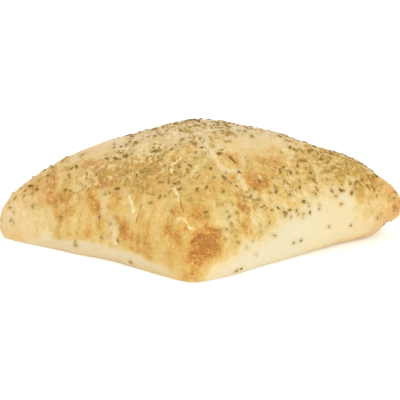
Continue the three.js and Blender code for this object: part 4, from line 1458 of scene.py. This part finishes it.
def leaf_scrap(tree, thickness, form, number):
    """One scrap of leaf, about one unit long and one wide, torn, bowed and with a real thickness."""
    along, across = LEAF_STEPS
    grid = {"Size X": 1.0, "Size Y": 1.0, "Vertices X": along, "Vertices Y": across}
    sheet = tree.make("GeometryNodeMeshGrid", grid)
    place = tree.make("GeometryNodeInputPosition")
    parts = tree.add("ShaderNodeSeparateXYZ", {"Vector": place}).outputs
    # Materials find the rib where this mark is 1. It is above 0 all over a leaf, and 0 on the rest.
    marked = tree.keep(sheet, "across", tree.math("ADD", parts["Y"], 1.0))
    outline = tree.math("POWER", tree.math("ABSOLUTE", parts["X"]), form.taper)
    inwards = tree.math("SUBTRACT", 1.0, tree.math("MULTIPLY", outline, form.narrowing))
    narrowed = tree.math("MULTIPLY", parts["Y"], inwards)
    bow = tree.math("MULTIPLY", tree.math("MULTIPLY", parts["X"], parts["X"]), form.bow)
    trough = tree.math("MULTIPLY", tree.math("MULTIPLY", parts["Y"], parts["Y"]), form.trough)
    smooth = tree.vector(parts["X"], narrowed, tree.math("ADD", bow, trough))
    elsewhere = tree.vector_math("ADD", place, tuple(number * step for step in TORN_EDGE.apart))
    ragged = tree.noise(elsewhere, TORN_EDGE.scale, 1)["Color"]
    offset = tree.vector_math("SUBTRACT", ragged, (0.5, 0.5, 0.5))
    torn = tree.vector_math("ADD", smooth, tree.vector_math("MULTIPLY", offset, TORN_EDGE.reach))
    shaped = tree.make("GeometryNodeSetPosition", {"Geometry": marked, "Position": torn})
    extrusion = {"Mesh": shaped, "Offset Scale": thickness, "Individual": False}
    extruded = tree.make("GeometryNodeExtrudeMesh", extrusion, mode="FACES")
    underside = tree.make("GeometryNodeFlipFaces", {"Mesh": shaped})
    joined = tree.add("GeometryNodeJoinGeometry")
    for part in (underside, extruded):
        tree.tree.links.new(part, joined.inputs["Geometry"])
    closed = {"Geometry": joined.outputs["Geometry"], "Distance": 0.0005}
    return tree.make("GeometryNodeMergeByDistance", closed)


def leaf_shapes(tree, thickness):
    """Several differently torn scraps, to pick from."""
    collected = tree.add("GeometryNodeJoinGeometry")
    for number, form in enumerate(LEAF_FORMS):
        scrap = leaf_scrap(tree, thickness, form, number)
        single = tree.make("GeometryNodeGeometryToInstance", {"Geometry": scrap})
        tree.tree.links.new(single, collected.inputs["Geometry"])
    return collected.outputs["Geometry"]


def stalk_shape(tree):
    """A thin stalk, one unit long and one thick, lying along X."""
    inputs = {"Vertices": 5, "Side Segments": 4, "Fill Segments": 1, "Radius": 0.5, "Depth": 1.0}
    rod = tree.make("GeometryNodeMeshCylinder", inputs)
    laid = {"Geometry": rod, "Rotation": (0, math.radians(90), 0)}
    return tree.make("GeometryNodeTransform", laid)


def crumb_shape(tree):
    """A small lump, one unit across."""
    return tree.make("GeometryNodeMeshIcoSphere", {"Radius": 0.5, "Subdivisions": 1})


def lay_herbs(tree, points, shape_maker, given, facing, size):
    """Lays a shape on each point, bends each one differently and makes them one mesh."""
    picks = shape_maker is leaf_shapes
    laid = {
        "Points": points,
        "Instance": shape_maker(tree, given["Thickness"]) if picks else shape_maker(tree),
        "Pick Instance": picks,
        "Instance Index": tree.random(0, len(LEAF_FORMS) - 1, 96, "INT"),
        "Rotation": facing,
        "Scale": size,
    }
    instances = tree.make("GeometryNodeInstanceOnPoints", laid)
    real = tree.make("GeometryNodeRealizeInstances", {"Geometry": instances})
    bend = tree.noise(None, LEAF_BEND_SCALE, 1)["Color"]
    centred = tree.vector_math("SUBTRACT", bend, (0.5, 0.5, 0.5))
    bent = tree.moved(real, tree.lengthened(centred, given["Crumple"]))
    flat_faced = tree.make("GeometryNodeSetShadeSmooth", {"Geometry": bent, "Shade Smooth": False})
    finished = {"Geometry": flat_faced, "Material": given["Material"]}
    return tree.make("GeometryNodeSetMaterial", finished)


def herb_group(name, *sockets):
    """An empty tree with the inputs that all herbs need and some of its own, and its inputs."""
    shared = [
        ("Geometry", "NodeSocketGeometry", None),
        ("Thickness", "NodeSocketFloat", 0.15),
        ("Crumple", "NodeSocketFloat", 0.0002),
        ("Material", "NodeSocketMaterial", None),
    ]
    outputs = [("Geometry", "NodeSocketGeometry")]
    group, _, given = new_group(name, "GeometryNodeTree", [*shared, *sockets], outputs)
    return group, GeometryTree(group), given


def placed_herbs_tree(name, shape_maker):
    """Herbs on given points, which carry their own facing, size and tint."""
    group, tree, given = herb_group(name)
    angles = {"Euler": tree.named("facing", "FLOAT_VECTOR")}
    rotation = tree.make("FunctionNodeEulerToRotation", angles)
    size = tree.named("flake_size", "FLOAT_VECTOR")
    result = lay_herbs(tree, given["Geometry"], shape_maker, given, rotation, size)
    tree.add("NodeGroupOutput", {"Geometry": result})
    return group


def strewn_herbs_tree(name, kind):
    """Herbs strewn over a surface, as thickly as its mark called strewn says."""
    group, tree, given = herb_group(
        name,
        ("Density", "NodeSocketFloat", 50000.0),
        ("Least Size", "NodeSocketVector", (0.0007, 0.0004, 0.0004)),
        ("Most Size", "NodeSocketVector", (0.0016, 0.0009, 0.0008)),
        ("Lift", "NodeSocketFloat", 0.0001),
        ("Seed", "NodeSocketInt", 0),
    )
    density = tree.math("MULTIPLY", tree.named("strewn"), given["Density"])
    spread = {"Mesh": given["Geometry"], "Density": density, "Seed": given["Seed"]}
    strewn = tree.add("GeometryNodeDistributePointsOnFaces", spread, distribute_method="RANDOM")
    normal = strewn.outputs["Normal"]
    raised = tree.moved(strewn.outputs["Points"], tree.lengthened(normal, given["Lift"]))
    tinted = tree.keep(raised, "tint", tree.random(0.0, kind.palest, 91))
    # Each one is turned about the way out of the crust, and tipped a little.
    spin = tree.random(0.0, 2 * math.pi, 92)
    tip_x = tree.random(-kind.tilt, kind.tilt, 93)
    tip_y = tree.random(-kind.tilt, kind.tilt, 94)
    own_turn = tree.make("FunctionNodeEulerToRotation", {"Euler": tree.vector(tip_x, tip_y, spin)})
    outwards = tree.make("FunctionNodeAlignRotationToVector", {"Vector": normal}, axis="Z")
    turns = {"Rotation": outwards, "Rotate By": own_turn}
    facing = tree.make("FunctionNodeRotateRotation", turns, rotation_space="LOCAL")
    share = tree.random((0, 0, 0), (1, 1, 1), 95, "FLOAT_VECTOR")
    span = tree.vector_math("SUBTRACT", given["Most Size"], given["Least Size"])
    size = tree.vector_math("ADD", given["Least Size"], tree.vector_math("MULTIPLY", share, span))
    result = lay_herbs(tree, tinted, kind.shape, given, facing, size)
    tree.add("NodeGroupOutput", {"Geometry": result})
    return group


# The small herbs: their shape, density setting, smallest and largest size, how far they are tipped
# and lie off the crust, how much they are bent, and the palest tint.
STREWN_HERBS = [
    SimpleNamespace(
        name="herb_scraps",
        shape=leaf_shapes,
        density="scrap_density",
        least=(0.6, 0.35, 0.4),
        most=(1.5, 0.75, 0.8),
        tilt=0.45,
        lift=0.10,
        bend=0.7,
        palest=1.0,
    ),
    SimpleNamespace(
        name="herb_crumbs",
        shape=crumb_shape,
        density="crumb_density",
        least=(0.3, 0.25, 0.2),
        most=(0.75, 0.5, 0.35),
        tilt=0.6,
        lift=0.06,
        bend=0.5,
        palest=1.3,
    ),
    SimpleNamespace(
        name="herb_needles",
        shape=stalk_shape,
        density="needle_density",
        least=(1.4, 0.25, 0.22),
        most=(3.0, 0.4, 0.35),
        tilt=0.2,
        lift=0.14,
        bend=0.4,
        palest=1.0,
    ),
]
SCRAP_THICKNESS = 0.16  # of a small scrap, as a share of its third size
STALK_BEND = 0.4  # how much less than a leaf a large stalk is bent
PER_SQUARE_CM = 10000  # how many in a square metre


def grow(name, mesh, group, values):
    """Runs a geometry tree over a mesh and returns the result as a plain mesh piece."""
    source = bpy.data.objects.new(name + "_source", mesh)
    bpy.context.scene.collection.objects.link(source)
    modifier = source.modifiers.new(group.name, "NODES")
    modifier.node_group = group
    for item in group.interface.items_tree:
        if item.item_type == "SOCKET" and item.in_out == "INPUT" and item.name in values:
            modifier[item.identifier] = values[item.name]
    grown = bpy.data.meshes.new_from_object(source.evaluated_get(bpy.context.evaluated_depsgraph_get()))
    bpy.data.objects.remove(source)
    if not grown.polygons:
        raise RuntimeError(f"{name} came out empty")
    grown.name = name
    piece = bpy.data.objects.new(name, grown)
    bpy.context.scene.collection.objects.link(piece)
    return piece


# ---------------------------------------------------------------------------
# Operators
# ---------------------------------------------------------------------------


# The marks that the crust's material reads.
CRUST_MARKS = (
    "baked", "floury", "pinched", "dusty", "herbed", "beige", "tone", "tear", "tear_end", "lip", "lip_end",
)


class BREAD_OT_crust(bpy.types.Operator):
    """Make the bread with its crust, folds, tears and browned patches"""

    bl_idname = "bread.crust"
    bl_label = "Crust"

    def execute(self, context):
        settings = context.scene.bread_roll
        bread = bread_from(settings.bread)
        points, faces = bread_mesh(bread, settings.bread.dome_shells, settings.bread.tuck_rings)
        normals = vertex_normals(points, faces)
        points = points + normals * broad_relief(points)[:, None]
        normals = vertex_normals(points, faces)
        marks = skin_marks(points)
        points = points + normals * fine_relief(points, marks)[:, None]
        points[:, 2] = np.maximum(points[:, 2], 0)

        mesh = bpy.data.meshes.new("crust")
        face_list = [face for group in faces for face in group.tolist()]
        mesh.from_pydata(points * MM, [], face_list)
        mesh.shade_smooth()
        add_marks(mesh, **{name: getattr(marks, name) for name in CRUST_MARKS})
        crust = new_object("crust", mesh, crust_material(settings.crust))
        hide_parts(NODE)
        present(crust)
        return {"FINISHED"}


def herb_points(placed):
    """A mesh of bare points, one for each herb, that carry its facing, size and tint."""
    places, facings, sizes, tints = zip(*placed)
    mesh = bpy.data.meshes.new("herb_points")
    mesh.from_pydata(places, [], [])
    add_marks(mesh, facing=np.array(facings), flake_size=np.array(sizes), tint=np.array(tints))
    return mesh


def lay_large_herb(bread, herb, surface):
    """Drops one of the large herbs onto the crust: its place, facing, size and tint."""
    origin, out, turned = crust_frame(bread, herb.x, herb.y)
    hit, _, _, _ = surface.ray_cast(Vector((origin + DROP_HEIGHT * out) * MM), Vector(-out))
    ground = hit if hit is not None else Vector(origin * MM)
    place = ground + Vector(out) * HERB_LIFT * MM
    facing = (turned @ Matrix.Rotation(herb.turn, 3, "Z")).to_euler()
    return place, tuple(facing), (herb.length * MM, herb.width * MM, HERB_FIGURE * MM), herb.tint


def lay_notable_scrap(scrap, tint, surface):
    """Lays one of the scraps that stand out onto the crust, turned from level as seen from outside."""
    wanted, length, width, turn = scrap
    found, normal, _, _ = surface.find_nearest(Vector(wanted) * MM)
    place = found + normal * HERB_LIFT * MM
    level = Vector((0, 0, 1)).cross(normal).normalized()
    turned = Matrix((level, normal.cross(level), normal)).transposed()
    facing = (turned @ Matrix.Rotation(math.radians(turn), 3, "Z")).to_euler()
    return place, tuple(facing), (length * MM, width * MM, HERB_FIGURE * MM), tint


PALE_SCRAPS = SimpleNamespace(beyond=38, below=23, tints=(0.35, 0.75))
OTHER_SCRAP_TINTS = (0, 0.6)


def scrap_tint(scrap, drawn):
    """From 0 for the darkest to 1 for the palest: on the pale wall they are paler."""
    x, _, z = scrap[0]
    on_wall = x > PALE_SCRAPS.beyond and z < PALE_SCRAPS.below
    return mix(*(PALE_SCRAPS.tints if on_wall else OTHER_SCRAP_TINTS), drawn)


def mesh_points(mesh):
    places = np.empty(len(mesh.vertices) * 3)
    mesh.vertices.foreach_get("co", places)
    return places.reshape(-1, 3)


# Small scraps lie in clumps: how thickly between them, how much more in them, and how far apart.
CLUMPS = SimpleNamespace(least=0.55, more=1.3, lowest=-0.4, size=6, seed=61)
# How thickly they lie where large ones do, what is taken off all over, and the most there is.
STREWING = SimpleNamespace(with_large=0.9, less=0.03, most=1.5, foot=(1.5, 4))


def strewing(places):
    """How thickly small scraps lie: with the large flakes, and in a few spots of their own."""
    x, y, z = places.T
    clumps = CLUMPS.least + CLUMPS.more * np.clip(noise(places, CLUMPS.size, CLUMPS.seed), CLUMPS.lowest, 1)
    weight = herb_density(x, y) * STREWING.with_large + field_weight(x, y, SCRAP_FIELDS) - STREWING.less
    above_foot = smooth_step(z, *STREWING.foot)
    return np.clip(weight * clumps, 0, STREWING.most) * (1 - wall_share(places)) * above_foot


def strewn_surface(crust, name):
    """A copy of the crust's mesh that says how thickly small herbs lie on it."""
    mesh = crust.data.copy()
    mesh.name = name
    add_marks(mesh, strewn=strewing(mesh_points(mesh) / MM))
    return mesh


class BREAD_OT_herb_leaves(bpy.types.Operator):
    """Lay the largest leaves and stalks, which the solid has too, and the scraps that stand out"""

    bl_idname = "bread.herb_leaves"
    bl_label = "Herb Leaves"

    def execute(self, context):
        settings = context.scene.bread_roll
        bread = bread_from(settings.bread)
        crust = bpy.data.objects["crust"]
        material = herb_material(settings.herbs)
        herbs = large_herbs(bread)
        surface = BVHTree.FromObject(crust, context.evaluated_depsgraph_get())
        draw = seeded_draw(HERB_SEED)
        notable = []
        for scrap in NOTABLE_SCRAPS:
            notable.append(lay_notable_scrap(scrap, scrap_tint(scrap, next(draw)), surface))
        kinds = [("herb_leaves", leaf_shapes, False), ("herb_stalks", stalk_shape, True)]
        for name, shape, is_stem in kinds:
            placed = [lay_large_herb(bread, herb, surface) for herb in herbs if herb.is_stem == is_stem]
            points = herb_points(placed if is_stem else placed + notable)
            values = {
                "Thickness": settings.herbs.thickness / (HERB_FIGURE * MM),
                "Crumple": settings.herbs.crumple * (STALK_BEND if is_stem else 1),
                "Material": material,
            }
            piece = grow(name, points, placed_herbs_tree(name + "_tree", shape), values)
            present(piece)
        return {"FINISHED"}


def stain_crust(crust, herbs):
    """Marks how near each point of the crust is to the closest herb, which stained it a little."""
    corners = np.concatenate([mesh_points(piece.data)[::STAIN_STEP] for piece in herbs])
    tree = KDTree(len(corners))
    for number, corner in enumerate(corners):
        tree.insert(corner, number)
    tree.balance()
    away = np.array([tree.find(place)[2] for place in mesh_points(crust.data)]) / MM
    add_marks(crust.data, stain=STAIN_STRENGTH * np.exp(-((away / STAIN_RADIUS) ** 2)))


class BREAD_OT_herb_scraps(bpy.types.Operator):
    """Strew the smaller scraps, crumbs and needles of dried herb"""

    bl_idname = "bread.herb_scraps"
    bl_label = "Small Herbs"

    def execute(self, context):
        herbs = context.scene.bread_roll.herbs
        crust = bpy.data.objects["crust"]
        material = bpy.data.materials["dried_herb"]
        made = [bpy.data.objects["herb_leaves"], bpy.data.objects["herb_stalks"]]
        for number, kind in enumerate(STREWN_HERBS):
            surface = strewn_surface(crust, kind.name + "_surface")
            values = {
                "Density": getattr(herbs, kind.density) * PER_SQUARE_CM,
                "Least Size": [size * MM for size in kind.least],
                "Most Size": [size * MM for size in kind.most],
                "Lift": kind.lift * MM,
                "Thickness": SCRAP_THICKNESS,
                "Crumple": herbs.crumple * kind.bend,
                "Seed": herbs.seed + number,
                "Material": material,
            }
            piece = grow(kind.name, surface, strewn_herbs_tree(kind.name + "_tree", kind), values)
            present(piece)
            made.append(piece)
        stain_crust(crust, made)
        return {"FINISHED"}


FLOOR_DROP = 0.00005  # keeps the floor from showing through the base
KEY_LIGHT = SimpleNamespace(place=(0.35, -1.1, 0.95), size=0.9)
TOP_LIGHT = SimpleNamespace(place=(-0.25, 0.15, 1.3), size=1.1)
CAMERA_AIM = (0.15, 0, 14.1)
SENSOR_WIDTH = 36


def add_light(name, lamp, power):
    """A large square light that faces the roll."""
    data = bpy.data.lights.new(name, "AREA")
    data.size = lamp.size
    data.energy = power
    light = bpy.data.objects.new(name, data)
    light.location = lamp.place
    light.rotation_euler = (-Vector(lamp.place)).to_track_quat("-Z", "Y").to_euler()
    bpy.context.scene.collection.objects.link(light)


class BREAD_OT_stage(bpy.types.Operator):
    """Lay the pale floor and place the soft lights and the camera"""

    bl_idname = "bread.stage"
    bl_label = "Stage"

    def execute(self, context):
        scene = context.scene
        settings = scene.bread_roll.stage
        half = settings.floor_size / 2
        mesh = bpy.data.meshes.new("floor")
        plan = [(-half, -half), (half, -half), (half, half), (-half, half)]
        corners = [(x, y, -FLOOR_DROP) for x, y in plan]
        mesh.from_pydata(corners, [], [(0, 1, 2, 3)])
        floor = new_object("floor", mesh, floor_material(settings.floor_colour, settings.floor_glow))

        add_light("key_light", KEY_LIGHT, settings.key_power)
        add_light("top_light", TOP_LIGHT, settings.fill_power)
        world = bpy.data.worlds.new("even_light")
        world.use_nodes = True
        background = world.node_tree.nodes["Background"]
        background.inputs["Color"].default_value = (1, 1, 1, 1)
        background.inputs["Strength"].default_value = settings.sky
        scene.world = world
        scene.view_settings.view_transform = "Standard"
        scene.view_settings.look = "None"

        aim = Vector(CAMERA_AIM) * MM
        elevation = settings.camera_elevation
        away = Vector((0, -math.cos(elevation), math.sin(elevation))) * settings.camera_distance
        camera = bpy.data.objects.new("camera", bpy.data.cameras.new("camera"))
        camera.data.lens = settings.lens
        camera.data.sensor_width = SENSOR_WIDTH
        camera.location = aim + away
        camera.rotation_euler = (math.pi / 2 - elevation, 0, 0)
        scene.collection.objects.link(camera)
        scene.camera = camera
        return {"FINISHED"}


class BREAD_PT_panel(bpy.types.Panel):
    """The roll's settings and its pieces"""

    bl_label = "Bread Roll"
    bl_idname = "BREAD_PT_panel"
    bl_space_type = "VIEW_3D"
    bl_region_type = "UI"
    bl_category = "Bread Roll"

    def draw(self, context):
        settings = context.scene.bread_roll
        for operator in PIECES:
            self.layout.operator(operator.bl_idname)
        for group in (settings.bread, settings.crust, settings.herbs, settings.stage):
            box = self.layout.box()
            for name in group.bl_rna.properties.keys():
                if name not in {"rna_type", "name"}:
                    box.prop(group, name)


PIECES = [BREAD_OT_stage, BREAD_OT_crust, BREAD_OT_herb_leaves, BREAD_OT_herb_scraps]
CLASSES = [
    BreadSizes,
    CrustColours,
    HerbSettings,
    StageSettings,
    BreadRollSettings,
    *PIECES,
    BREAD_PT_panel,
]


def register():
    for cls in CLASSES:
        bpy.utils.register_class(cls)
    bpy.types.Scene.bread_roll = PointerProperty(type=BreadRollSettings, name="Bread Roll")


def unregister():
    del bpy.types.Scene.bread_roll
    for cls in reversed(CLASSES):
        bpy.utils.unregister_class(cls)


def main():
    register()
    bpy.ops.bread.stage()
    bpy.ops.bread.crust()
    bpy.ops.bread.herb_leaves()
    bpy.ops.bread.herb_scraps()


if __name__ == "__main__":
    main()
